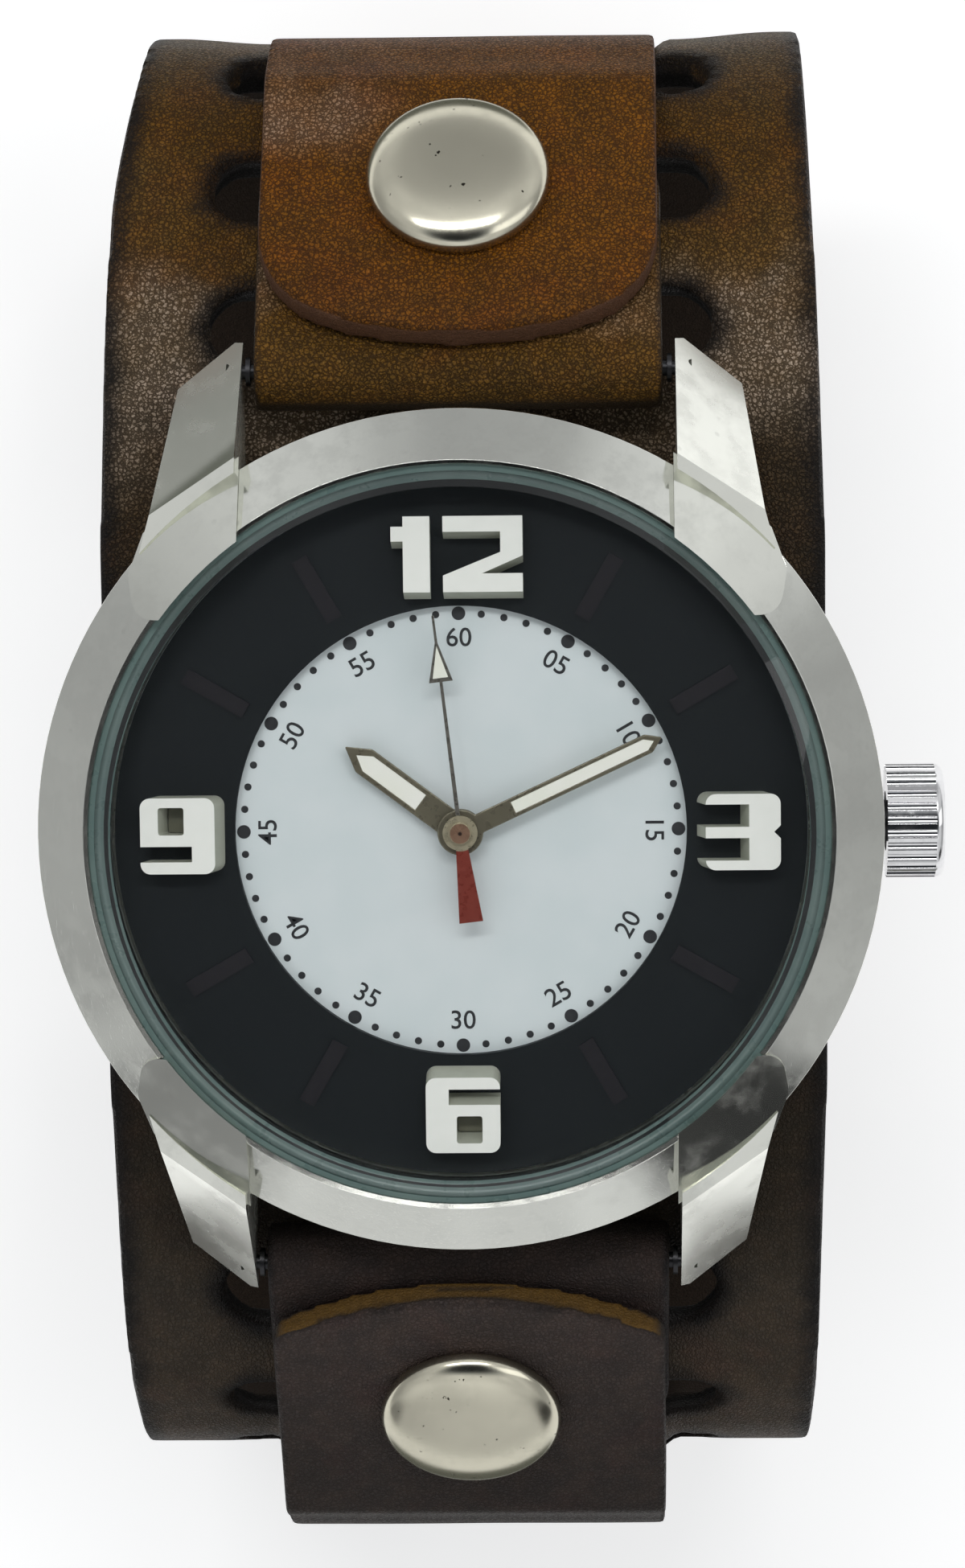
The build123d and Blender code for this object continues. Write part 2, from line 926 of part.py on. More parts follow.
def hour_wheel():
    """Forty teeth on the tube that carries the hour hand."""
    minute_turn = meshed_turn(12, 0, 36, minute_wheel_bearing)
    turn = meshed_turn(10, minute_turn, 40, minute_wheel_bearing + 180)
    wheel = gear(40, hour_module, turn, hour_layer_z)
    wheel += disc(hour_tube_r, hour_layer_z, hour_hand_z + hand_t)
    return wheel - disc(hour_bore_r, hour_layer_z - overrun, hour_hand_z + hand_t + overrun)


def minute_wheel():
    """Thirty-six teeth with a pinion of ten, on its own post."""
    turn = meshed_turn(12, 0, 36, minute_wheel_bearing)
    wheel = gear(36, cannon_module, turn, minute_layer_z)
    wheel += gear(10, hour_module, turn, minute_layer_z, hour_layer_z - minute_layer_z + wheel_t)
    wheel -= disc(pivot_r + pivot_play, minute_layer_z - overrun, 0)
    return Pos(*minute_wheel_at, 0) * wheel


def centre_wheel():
    """Sixty teeth under the plate, with the tube and twelve leaves of the cannon pinion."""
    third_turn = meshed_turn(8, 0, 64, third_bearing)
    turn = meshed_turn(8, third_turn, 60, third_bearing + 180)
    wheel = gear(60, centre_module, turn, centre_layer_z)
    wheel += disc(cannon_r, centre_layer_z, minute_hand_z + hand_t)
    wheel += gear(12, cannon_module, 0, minute_layer_z)
    return wheel - disc(cannon_bore_r, centre_layer_z - overrun, minute_hand_z + hand_t + overrun)


def fourth_wheel():
    """Forty teeth and eight leaves on the arbor that carries the seconds hand."""
    wheel = gear(40, fourth_module, 0, fourth_layer_z)
    wheel += gear(8, third_module, 0, third_layer_z - gear_space, wheel_t + 2 * gear_space)
    wheel += disc(second_arbor_r, fourth_layer_z, second_hand_z + hand_t / 2)
    wheel += disc(pivot_r, bridge_base_z, fourth_layer_z)
    return wheel


def third_wheel():
    """Sixty-four teeth driven by the fourth arbor, with eight leaves for the centre wheel."""
    turn = meshed_turn(8, 0, 64, third_bearing)
    wheel = gear(64, third_module, turn, third_layer_z)
    pinion_low = centre_layer_z - gear_space
    wheel += gear(8, centre_module, turn, pinion_low, wheel_t + 2 * gear_space)
    wheel += disc(pivot_r, bridge_base_z, plate_top_z)
    return Pos(*third_at, 0) * wheel


def fifth_wheel():
    """Forty-eight teeth driven by the rotor, with eight leaves for the fourth wheel."""
    turn = meshed_turn(40, 0, 8, fifth_bearing)
    wheel = gear(48, fifth_module, turn, third_layer_z)
    pinion_low = fourth_layer_z - gear_space
    wheel += gear(8, fourth_module, turn, pinion_low, wheel_t + 2 * gear_space)
    wheel += disc(pivot_r, bridge_base_z, plate_top_z)
    return Pos(*fifth_at, 0) * wheel


def rotor():
    """Magnet and eight leaves of the stepping motor."""
    fifth_turn = meshed_turn(40, 0, 8, fifth_bearing)
    turn = meshed_turn(48, fifth_turn, 8, rotor_bearing)
    body = gear(8, fifth_module, turn, third_layer_z - gear_space, wheel_t + 2 * gear_space)
    body += disc(rotor_r, rotor_z, rotor_z + rotor_t)
    body += disc(pivot_r, bridge_base_z, plate_top_z)
    return Pos(*rotor_at, 0) * body


def pivot_holes(low, high):
    """Holes for the three lower arbors."""
    hole = disc(pivot_r + pivot_play, low - overrun, high + overrun)
    return [Pos(*place, 0) * hole for place in (third_at, fifth_at, rotor_at)]


def main_plate():
    """Plastic plate under the dial, with the post for the minute wheel and two pillars."""
    plate = disc(plate_r, plate_base_z, plate_top_z)
    plate -= disc(cannon_r + pivot_play, plate_base_z - overrun, plate_top_z + overrun)
    for hole in pivot_holes(plate_base_z, plate_top_z):
        plate -= hole
    plate += Pos(*minute_wheel_at, 0) * disc(pivot_r, plate_top_z, hour_layer_z + wheel_t)
    pillar = disc(bridge_post_r, bridge_top_z, plate_base_z)
    for place in (bridge_left, bridge_right):
        plate += Pos(*place, 0) * pillar
    return plate


def train_bridge():
    """Plate that carries the lower pivots."""
    length = math.dist(bridge_left, bridge_right)
    middle = ((bridge_left[0] + bridge_right[0]) / 2, (bridge_left[1] + bridge_right[1]) / 2)
    lean = math.degrees(math.atan2(bridge_right[1] - bridge_left[1], bridge_right[0] - bridge_left[0]))
    outline = Pos(*middle) * Rot(0, 0, lean) * SlotCenterToCenter(length - bridge_half_w, 2 * bridge_half_w)
    bridge = Pos(0, 0, bridge_base_z) * extrude(outline, bridge_top_z - bridge_base_z)
    bridge -= disc(pivot_r + pivot_play, bridge_base_z - overrun, bridge_top_z + overrun)
    for hole in pivot_holes(bridge_base_z, bridge_top_z):
        bridge -= hole
    return bridge


def bridge_screws():
    """Two slotted screw heads under the bridge."""
    head = disc(screw_head_r, bridge_base_z - screw_head_t, bridge_base_z)
    slot = Pos(0, 0, bridge_base_z - screw_head_t) * Box(2 * screw_head_r, screw_head_t, screw_head_t)
    return [Pos(*place, 0) * (head - slot) for place in (bridge_left, bridge_right)]


def stator():
    """Soft iron plate round the rotor, reaching to the coil's core."""
    length = coil_y + core_w - rotor_at[1] + stator_w / 2
    plate = Box(stator_w, length, stator_t, align=(Align.CENTER, Align.MIN, Align.MAX))
    plate = Pos(rotor_at[0], rotor_at[1] - stator_w / 2, stator_top_z) * plate
    low = stator_top_z - stator_t - overrun
    return plate - Pos(*rotor_at, 0) * disc(rotor_r + stator_gap, low, stator_top_z + overrun)


def coil():
    """Winding on a flat core whose end pad meets the stator."""
    winding = along_x(Pos(coil_y, coil_z) * Circle(coil_r), coil_x - coil_len / 2, coil_x + coil_len / 2)
    core = Pos(coil_x, coil_y, coil_z) * Box(core_len, core_w, core_w)
    pad_low = coil_z - core_w / 2
    pad = Box(core_w, core_w, stator_top_z - stator_t - pad_low, align=(Align.MAX, Align.CENTER, Align.MIN))
    return winding + core + Pos(coil_x + core_len / 2, coil_y, pad_low) * pad


def battery():
    """Button cell with a stepped cap."""
    low = battery_top_z - battery_t
    cell = disc(battery_r, low, battery_top_z - battery_t / 5)
    cell += disc(battery_r * 0.8, low, battery_top_z)
    return Pos(battery_x, battery_y, 0) * cell


def battery_clamp():
    """Spring strip under the cell."""
    low = battery_top_z - battery_t - clamp_t
    strip = Box(2 * battery_r, clamp_w, clamp_t, align=(Align.CENTER, Align.CENTER, Align.MIN))
    return Pos(battery_x, battery_y, low) * strip


def circuit_board():
    """Small board against the plate."""
    board = Box(board_l, board_w, board_t, align=(Align.CENTER, Align.CENTER, Align.MAX))
    return Pos(board_x, board_y, plate_base_z) * board


def quartz_can():
    """Tubular quartz resonator lying under the board."""
    z = plate_base_z - board_t - quartz_r
    return along_x(Pos(board_y, z) * Circle(quartz_r), board_x - quartz_len / 2, board_x + quartz_len / 2)


def spacer_ring():
    """Plastic ring that holds the movement in the case, with the stem's hole."""
    body = ring(spacer_r, plate_r + hand_fit, spacer_base_z, spacer_top_z)
    stem_hole = Pos(0, crown_z) * Circle(stem_r + stem_hole_play)
    return body - along_x(stem_hole, plate_r - overrun, spacer_r + overrun)


# Crown and stem


def crown():
    """Fluted crown with a rounded outer edge and a bore over the case tube."""
    blank = along_x(Pos(0, crown_z) * Circle(crown_r), crown_start, crown_end)
    rim = blank.edges().filter_by(GeomType.CIRCLE).sort_by(Axis.X)[-1]
    blank = fillet(rim, crown_round)
    flute = Pos(crown_r, 0) * Circle(crown_flute_r)
    places = [Pos(0, crown_z) * place * flute for place in PolarLocations(0, crown_flutes)]
    flutes = Sketch() + places
    blank -= along_x(flutes, crown_start - overrun, crown_end - crown_round)
    bore = along_x(Pos(0, crown_z) * Circle(crown_bore_r), crown_start - overrun, crown_bore_end)
    blank -= bore
    stem_hole = along_x(Pos(0, crown_z) * Circle(stem_r), crown_start, crown_bore_end + stem_r)
    return blank - stem_hole


def stem():
    """Winding stem with the groove for the setting lever."""
    rod = along_x(Pos(0, crown_z) * Circle(stem_r), stem_start, crown_bore_end + stem_r)
    cut = Circle(stem_r + overrun) - Circle(stem_groove_r)
    low = stem_groove_x - stem_groove_w / 2
    return rod - along_x(Pos(0, crown_z) * cut, low, low + stem_groove_w)


def crown_tube():
    """Tube pressed into the case for the stem."""
    section = Pos(0, crown_z) * (Circle(tube_r - tube_press) - Circle(tube_bore_r))
    return along_x(section, tube_start, tube_end)


def crown_oring():
    """Rubber ring between the tube and the crown's bore."""
    middle = (tube_r + crown_bore_r) / 2
    section = Pos(oring_x, crown_z + middle) * Circle(oring_wire_r)
    axis = Axis((0, 0, crown_z), (1, 0, 0))
    return revolve(Plane.XZ * section, axis)


def setting_lever():
    """Small plate whose finger rides in the stem's groove."""
    plate = Box(lever_l, lever_w, lever_t, align=(Align.CENTER, Align.CENTER, Align.MAX))
    plate = Pos(stem_groove_x, stem_groove_w, lever_z) * plate
    height = crown_z - stem_groove_r - gear_space - lever_z + lever_t / 2
    finger = Box(lever_finger_w, stem_r, height, align=(Align.CENTER, Align.CENTER, Align.MIN))
    plate += Pos(stem_groove_x, 0, lever_z - lever_t / 2) * finger
    boss_y = stem_groove_w + lever_w / 2 - lever_boss_w / 2
    boss_h = plate_base_z - gear_space - lever_z + lever_t / 2
    boss = Box(lever_l, lever_boss_w, boss_h, align=(Align.CENTER, Align.CENTER, Align.MIN))
    return plate + Pos(stem_groove_x, boss_y, lever_z - lever_t / 2) * boss


# Spring bars


def spring_bar_tube():
    """Tube of the spring bar at 12 o'clock."""
    section = Pos(bar_y, bar_z) * (Circle(bar_tube_r) - Circle(bar_tube_bore_r))
    return along_x(section, -bar_tube_half, bar_tube_half)


def spring_bar_pin():
    """Right-hand end pin at 12 o'clock: shank in the tube, two flanges and the tip."""
    centre = Pos(bar_y, bar_z)
    pin = along_x(centre * Circle(bar_pin_r), bar_pin_start, bar_flange_b)
    for start in (bar_flange_a, bar_flange_b):
        pin += along_x(centre * Circle(bar_flange_r), start, start + bar_flange_t)
    pin += along_x(centre * Circle(bar_tip_r), bar_flange_b, bar_tip_end)
    return pin


# Leather


def cuff():
    """Wide slotted band: the oval loop, narrower at its ends, open under the wrist."""
    band = side_profile(cuff_outline(0) - cuff_outline(-cuff_t), 2 * cuff_half_w)
    plan = Polyline(
        (cuff_half_w, -cuff_side_y),
        (cuff_half_w, cuff_side_y),
        (cuff_end_half_w, cuff_reach + overrun),
        (-cuff_end_half_w, cuff_reach + overrun),
        (-cuff_half_w, cuff_side_y),
        (-cuff_half_w, -cuff_side_y),
        (-cuff_end_half_w, -cuff_reach - overrun),
        (cuff_end_half_w, -cuff_reach - overrun),
        close=True,
    )
    prism = extrude(Plane.XY.offset(cuff_base_z - overrun) * make_face(plan), cuff_height + 2 * overrun)
    band &= prism
    slot = SlotOverall(slot_len, slot_w)
    for y in (slot_one_y, slot_two_y, slot_three_y):
        cutter = extrude(surface_plane(y) * slot, cuff_t + overrun, both=True)
        for side in both_ends(cutter):
            band -= side
    opening = RectangleRounded(2 * cuff_half_w + cuff_corner_r, 2 * cuff_gap_half, cuff_corner_r)
    gap = Rectangle(4 * cuff_half_w, 2 * cuff_gap_half) + opening
    low = Plane.XY.offset(cuff_base_z - overrun)
    return band - extrude(low * gap, cuff_t + 2 * overrun)


def bar_loop(seat_y):
    """Leather loop round the spring bar: one leg lies on the cuff, one under it."""
    under = -(cuff_t + touch_gap + loop_t / 2)
    leaving = (bar_y + wrap_r * slope_sin, bar_z + wrap_r * slope_cos)
    outer_y = seat_y + (loop_mid - tab_top) * slope_sin + (loop_out + overrun) * slope_cos
    top_leg = Line(leaving, (outer_y, slope_z(outer_y, loop_mid)))
    start = 90 - cuff_slope
    wrap = CenterArc((bar_y, bar_z), wrap_r, start, 270 - start)
    under_r = shoulder_r + under
    turn = math.radians(leg_turn_lean)
    turn_y, turn_z = shoulder_point(under_r, leg_turn_lean)
    middle = (leg_turn_lean + leg_end_lean) / 2
    end_y, end_z = shoulder_point(under_r, leg_end_lean)
    down = math.radians(leg_end_lean)
    through = FilletPolyline(
        (bar_y, bar_z - wrap_r),
        (leg_drop_y, bar_z - wrap_r),
        (leg_drop_y, turn_z + (turn_y - leg_drop_y) * math.tan(turn)),
        shoulder_point(under_r, middle, leg_end_lean - leg_turn_lean),
        (end_y + leg_tip * math.cos(down), end_z - leg_tip * math.sin(down)),
        radius=[leg_bend_r, leg_bend_r, under_r],
    )
    face = trace(top_leg, loop_t) + trace(wrap, loop_t) + trace(through, loop_t)
    loop = side_profile(face, loop_w)
    seat = slope_plane(loop_mid, seat_y)
    far_end = Plane(origin=seat.origin, x_dir=-seat.x_dir, z_dir=seat.z_dir)
    loop -= end_cut(far_end, loop_w / 2, loop_out, loop_end_rise, loop_end_corner, loop_t)
    return loop - extrude(seat * Circle(stud_r + post_play), loop_t, both=True)


def tab_points(seat_y):
    """The strap's path from its tab end over the hip to the underside, on the 12 side."""
    start_y = seat_y - strap_t / 2 * slope_sin - (tab_in + overrun) * slope_cos
    return [
        (start_y, slope_z(start_y, tab_mid)),
        hip_corner(tab_mid, strap_mid),
        base_corner(strap_mid),
    ]


def tab_cuts(seat_y, rise, corner):
    """The tab's arched end and the hole that its snap fills."""
    seat = slope_plane(tab_mid, seat_y)
    arch = end_cut(seat, strap_w / 2, tab_in, rise, corner, strap_t)
    return [arch, extrude(seat * Circle(socket_r + post_play), strap_t, both=True)]


def buckle_strap():
    """Strap on the 12 o'clock side, folded round the buckle's bar."""
    fold_r = buckle_z - inner_strap_z
    run = FilletPolyline(
        *tab_points(snap_y_12),
        (buckle_y, inner_strap_z),
        radius=[tab_hip_r, base_r + strap_mid],
    )
    fold = CenterArc((buckle_y, buckle_z), fold_r, 90, 180)
    top_z = buckle_z + fold_r
    leg = Line((buckle_y, top_z), (buckle_y + fold_leg, top_z))
    face = trace(run, strap_t) + trace(fold, strap_t) + trace(leg, strap_t)
    strap = side_profile(face, strap_w)
    for cut in tab_cuts(snap_y_12, tab_rise_12, tab_corner_12):
        strap -= cut
    slot_len_y = 2 * (fold_r + strap_t / 2 + overrun)
    slot = Box(fold_slot_w, slot_len_y, slot_len_y)
    return strap - Pos(0, buckle_y - slot_len_y / 4, buckle_z) * slot


def hole_strap():
    """Strap on the 6 o'clock side; its tail dips under the buckle strap and has the holes."""
    points = [flipped(point) for point in tab_points(snap_y_6)]
    run = FilletPolyline(
        *points,
        (tail_start_y, inner_strap_z),
        (tail_down_y, tail_z),
        (tail_tip_y + overrun, tail_z),
        radius=[tab_hip_r, base_r + strap_mid, tail_bend_r, tail_bend_r],
    )
    strap = side_profile(trace(run, strap_t), strap_w)
    for cut in tab_cuts(snap_y_6, tab_rise_6, tab_corner_6):
        strap -= mirror(cut, about=Plane.XZ)
    tip = Plane(origin=(0, 0, tail_z), x_dir=(-1, 0, 0), z_dir=(0, 0, 1))
    strap -= end_cut(tip, strap_w / 2, tail_tip_y, tail_tip_rise, tail_tip_corner, strap_t)
    drop = Plane.XY.offset(tail_z)
    tongue_hole = Pos(0, tail_hole_y) * Rot(0, 0, 90) * SlotOverall(tail_hole_len, tail_hole_w)
    strap -= extrude(drop * tongue_hole, 2 * strap_t, both=True)
    for y in tail_round_holes:
        strap -= extrude(drop * Pos(0, y) * Circle(tail_round_hole_r), strap_t, both=True)
    return strap


def keeper(span):
    """Leather band round both straps, between two Y values."""
    high = inner_strap_z + strap_t / 2 + keeper_gap
    low = tail_z - strap_t / 2 - keeper_gap
    inner = Rectangle(loop_w + keeper_gap, high - low)
    outer = RectangleRounded(
        loop_w + keeper_gap + 2 * keeper_t, high - low + 2 * keeper_t, keeper_t / 2
    )
    plane = Plane(origin=(0, span[0], (high + low) / 2), x_dir=(-1, 0, 0), z_dir=(0, 1, 0))
    return extrude(plane * (outer - inner), span[1] - span[0])


# Snaps


def snap_cap(seat_y):
    """Domed cap on the strap's tab, with a short post over the stud."""
    bulge_r = (cap_r**2 + cap_dome**2) / (2 * cap_dome)
    dome = Pos(0, 0, cap_rim + cap_dome - bulge_r) * Sphere(bulge_r)
    dome &= disc(cap_r, 0, cap_rim + cap_dome)
    cap = dome + disc(cap_post_r, -cap_post_len, cap_rim)
    return slope_plane(tab_top + hand_fit, seat_y) * cap


def snap_socket(seat_y):
    """Ring under the cap, in the tab's hole, that snaps over the stud."""
    section = ring(socket_r, socket_bore_r, hand_fit - strap_t, 0)
    return slope_plane(tab_top + hand_fit, seat_y) * section


def snap_stud(seat_y):
    """Stud held in the loop's upper leg, its head in the socket."""
    leg_top = loop_t + touch_gap
    head_top = leg_top + stud_reach
    stud = disc(stud_r, -hand_fit, head_top)
    stud += disc(stud_head_r, head_top - stud_head_t, head_top)
    stud += disc(stud_flange_r, -hand_fit - stud_flange_t, -hand_fit)
    return slope_plane(layer_gap, seat_y) * stud


# Buckle

front_z = inner_strap_z - strap_t / 2 - frame_front_gap - frame_front_r


def buckle_frame():
    """Ring of the buckle: two side arms, hubs on the bar and the front bar."""
    arm_x = frame_in_w / 2
    arm = trace(Line((buckle_y, buckle_z), (frame_front_y, front_z)), 2 * frame_front_r)
    hub = Pos(buckle_y, buckle_z) * Circle(frame_hub_r)
    nose = Pos(frame_front_y, front_z) * Circle(frame_front_r)
    side = along_x(arm + hub + nose, arm_x, arm_x + frame_arm_w)
    frame = side + mirror(side, about=Plane.YZ)
    frame += along_x(nose, -arm_x, arm_x)
    bore = Pos(buckle_y, buckle_z) * Circle(buckle_bar_r + buckle_bar_play)
    reach = arm_x + frame_arm_w + overrun
    return frame - along_x(bore, -reach, reach)


def buckle_tongue():
    """Prong hinged on the bar, lying over the front bar."""
    low_z = front_z - frame_front_r - tongue_gap - tongue_t / 2
    tip_y = frame_front_y - tongue_over
    path = FilletPolyline(
        (buckle_y, buckle_z),
        (frame_front_y + tongue_bend, low_z),
        (tip_y, low_z),
        radius=tongue_bend_r,
    )
    finger = trace(path, tongue_t)
    tip = Pos(tip_y, low_z) * Circle(tongue_t / 2)
    hub = Pos(buckle_y, buckle_z) * Circle(tongue_hub_r)
    tongue = side_profile(finger + tip + hub, tongue_w)
    bore = Pos(buckle_y, buckle_z) * Circle(buckle_bar_r + buckle_bar_play)
    return tongue - along_x(bore, -tongue_w, tongue_w)


def buckle_bar():
    """Straight bar through the fold and the frame's hubs."""
    half = frame_in_w / 2 + frame_arm_w
    return along_x(Pos(buckle_y, buckle_z) * Circle(buckle_bar_r), -half, half)


def build():
    """Every node by name; a list is a group of separate solids."""
    hour_hand, hour_lume = framed_hand(
        hour_len, hour_w, hour_point, hour_frame, hour_lume_in, hour_hand_z, hour_tube_r
    )
    minute_hand, minute_lume = framed_hand(
        minute_len, minute_w, minute_point, minute_frame, minute_lume_in, minute_hand_z, cannon_r
    )
    tube_12, tube_6 = both_ends(spring_bar_tube())
    pin_12, pin_6 = both_ends(spring_bar_pin())
    wall_r = glass_r + gasket_wall
    back_gasket_low = back_seat_z - back_gasket_t
    back_gasket_r = back_r - gear_space
    back_gasket_in_r = back_r - back_gasket_wall
    return {
        "case_body": case_body(),
        "bezel_ring": bezel_ring(),
        "crystal": crystal(),
        "crystal_gasket": ring(wall_r - hand_fit, glass_r + hand_fit, glass_seat_z, gasket_top_z),
        "case_back": case_back(),
        "back_gasket": ring(back_gasket_r, back_gasket_in_r, back_gasket_low, back_seat_z),
        "dial_plate": ring(dial_r, hour_tube_r + 2 * gear_space, -dial_t, 0),
        "chapter_ring": chapter_ring(),
        "hour_numerals": hour_numerals(),
        "spacer_ring": spacer_ring(),
        "main_plate": main_plate(),
        "train_bridge": train_bridge(),
        "bridge_screws": bridge_screws(),
        "stator": stator(),
        "coil": coil(),
        "battery": battery(),
        "battery_clamp": battery_clamp(),
        "circuit_board": circuit_board(),
        "quartz_can": quartz_can(),
        "hour_hand": clockwise(hour_angle) * hour_hand,
        "hour_lume": clockwise(hour_angle) * hour_lume,
        "minute_hand": clockwise(minute_angle) * minute_hand,
        "minute_lume": clockwise(minute_angle) * minute_lume,
        "second_hand": clockwise(second_angle) * second_hand(),
        "hour_wheel": hour_wheel(),
        "minute_wheel": minute_wheel(),
        "centre_wheel": centre_wheel(),
        "fourth_wheel": fourth_wheel(),
        "third_wheel": third_wheel(),
        "fifth_wheel": fifth_wheel(),
        "rotor": rotor(),
        "crown": crown(),
        "stem": stem(),
        "crown_tube": crown_tube(),
        "crown_oring": crown_oring(),
        "setting_lever": setting_lever(),
        "bar_tube_12": tube_12,
        "bar_tube_6": tube_6,
        "bar_pin_12_right": pin_12,
        "bar_pin_12_left": mirror(pin_12, about=Plane.YZ),
        "bar_pin_6_right": pin_6,
        "bar_pin_6_left": mirror(pin_6, about=Plane.YZ),
        "cuff": cuff(),
        "bar_loop_12": bar_loop(snap_y_12),
        "bar_loop_6": mirror(bar_loop(snap_y_6), about=Plane.XZ),
        "buckle_strap": buckle_strap(),
        "hole_strap": hole_strap(),
        "snap_cap_12": snap_cap(snap_y_12),
        "snap_cap_6": mirror(snap_cap(snap_y_6), about=Plane.XZ),
        "snap_socket_12": snap_socket(snap_y_12),
        "snap_socket_6": mirror(snap_socket(snap_y_6), about=Plane.XZ),
        "snap_stud_12": snap_stud(snap_y_12),
        "snap_stud_6": mirror(snap_stud(snap_y_6), about=Plane.XZ),
        "fixed_keeper": keeper(fixed_keeper_y),
        "free_keeper": keeper(free_keeper_y),
        "buckle_frame": buckle_frame(),
        "buckle_tongue": buckle_tongue(),
        "buckle_bar": buckle_bar(),
    }


os.makedirs("parts", exist_ok=True)
for name, shape in build().items():
    pieces = shape if isinstance(shape, list) else [shape]
    solids = [solid for piece in pieces for solid in piece.solids()]
    lifted = Compound(children=[Pos(0, 0, dial_height) * solid for solid in solids])
    lifted.label = name
    export_step(lifted, f"parts/{name}.step")
    print(name, len(lifted.solids()), round(lifted.volume, 2))
print("dial height", round(dial_height, 3))
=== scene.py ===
import json
import math

import bmesh
import bpy
import numpy as np
from mathutils import Matrix, Vector, noise
from mathutils.kdtree import KDTree


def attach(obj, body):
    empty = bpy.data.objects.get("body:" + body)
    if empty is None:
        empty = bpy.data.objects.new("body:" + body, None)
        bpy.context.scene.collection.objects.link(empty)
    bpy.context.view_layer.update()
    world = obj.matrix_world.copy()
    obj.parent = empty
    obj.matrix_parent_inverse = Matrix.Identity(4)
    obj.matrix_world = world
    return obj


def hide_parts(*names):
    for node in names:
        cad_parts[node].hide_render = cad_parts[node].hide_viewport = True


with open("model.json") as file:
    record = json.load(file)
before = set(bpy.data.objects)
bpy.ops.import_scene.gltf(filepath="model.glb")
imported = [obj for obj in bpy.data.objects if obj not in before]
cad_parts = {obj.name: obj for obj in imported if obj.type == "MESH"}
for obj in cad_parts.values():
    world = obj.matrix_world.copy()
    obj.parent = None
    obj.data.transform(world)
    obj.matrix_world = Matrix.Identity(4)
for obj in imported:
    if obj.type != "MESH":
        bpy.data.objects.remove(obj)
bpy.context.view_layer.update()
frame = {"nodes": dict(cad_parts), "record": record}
nodes = frame["nodes"]
body_of_node = {
    node: body for body, members in frame["record"]["behaviour"]["bodies"].items() for node in members
}

# Sizes are in metres. Heights on the dial are measured from its top face.

MM = 0.001
DIAL_HEIGHT = 50.55 * MM
WELD = 0.001 * MM
SECOND_BEARING = math.radians(353.5)
SNAP_LEAN = math.radians(35.5)

# The camera, fitted to the photograph: where it stands from the dial's centre, and how it turns

PHOTO_TALL = 1950
PHOTO_FOCAL = 5995.5
SENSOR = 36.0
CAMERA_FROM_DIAL = (8.815 * MM, 30.546 * MM, 261.479 * MM)
CAMERA_TURN = (0.107, -0.029, 0.008)


# Small helpers for node trees


def feed(tree, socket, value):
    """Set a socket's value, or join another node's output to it."""
    if isinstance(value, bpy.types.NodeSocket):
        tree.links.new(value, socket)
    else:
        socket.default_value = value


def place(tree, kind, inputs=None, **settings):
    """Add a node; its inputs are given values, or other nodes' outputs to join."""
    made = tree.nodes.new(kind)
    for name, value in settings.items():
        setattr(made, name, value)
    for key, value in (inputs or {}).items():
        feed(tree, made.inputs[key], value)
    return made


def calc(tree, operation, first, second=0.0, third=0.0):
    """One arithmetic step."""
    inputs = {0: first, 1: second, 2: third}
    return place(tree, "ShaderNodeMath", inputs, operation=operation).outputs[0]


def product(tree, first, *others):
    """Several values multiplied."""
    for other in others:
        first = calc(tree, "MULTIPLY", first, other)
    return first


def vector_calc(tree, operation, first, second):
    """One arithmetic step on vectors that gives a vector."""
    inputs = {0: first, "Scale" if operation == "SCALE" else 1: second}
    return place(tree, "ShaderNodeVectorMath", inputs, operation=operation).outputs[0]


def measure(tree, operation, first, second=(0.0, 0.0, 0.0)):
    """One arithmetic step on vectors that gives a number."""
    inputs = {0: first, 1: second}
    return place(tree, "ShaderNodeVectorMath", inputs, operation=operation).outputs["Value"]


def split_up(tree, vector):
    """A vector's X, Y and Z."""
    return place(tree, "ShaderNodeSeparateXYZ", {0: vector}).outputs


def attribute(tree, name):
    """A number kept on the mesh's points."""
    return place(tree, "ShaderNodeAttribute", attribute_name=name).outputs["Fac"]


def between(tree, value, low, high, to_low=0.0, to_high=1.0):
    """Map a value smoothly from low..high to to_low..to_high."""
    inputs = {"Value": value, "From Min": low, "From Max": high, "To Min": to_low, "To Max": to_high}
    return place(tree, "ShaderNodeMapRange", inputs, interpolation_type="SMOOTHSTEP").outputs[0]


def tint(tree, factor, first, second, mode="MIX"):
    """Mix two colours."""
    inputs = {0: factor, 6: first, 7: second}
    return place(tree, "ShaderNodeMix", inputs, data_type="RGBA", blend_type=mode).outputs[2]


def cloudy(tree, coords, scale, detail=3.0, rough=0.55):
    """Soft noise between 0 and 1."""
    inputs = {"Vector": coords, "Scale": scale, "Detail": detail, "Roughness": rough}
    return place(tree, "ShaderNodeTexNoise", inputs).outputs[0]


def colours_along(tree, factor, stops):
    """A colour ramp with (position, colour) stops."""
    made = place(tree, "ShaderNodeValToRGB", {0: factor})
    ramp = made.color_ramp
    while len(ramp.elements) < len(stops):
        ramp.elements.new(1.0)
    for element, (position, colour) in zip(ramp.elements, stops):
        element.position = position
        element.color = colour
    return made.outputs[0]


def rgb(red, green, blue):
    """A colour as a screen shows it (0 to 255), made linear."""
    linear = []
    for part in (red, green, blue):
        share = part / 255
        linear.append(share / 12.92 if share <= 0.04045 else ((share + 0.055) / 1.055) ** 2.4)
    return (*linear, 1.0)


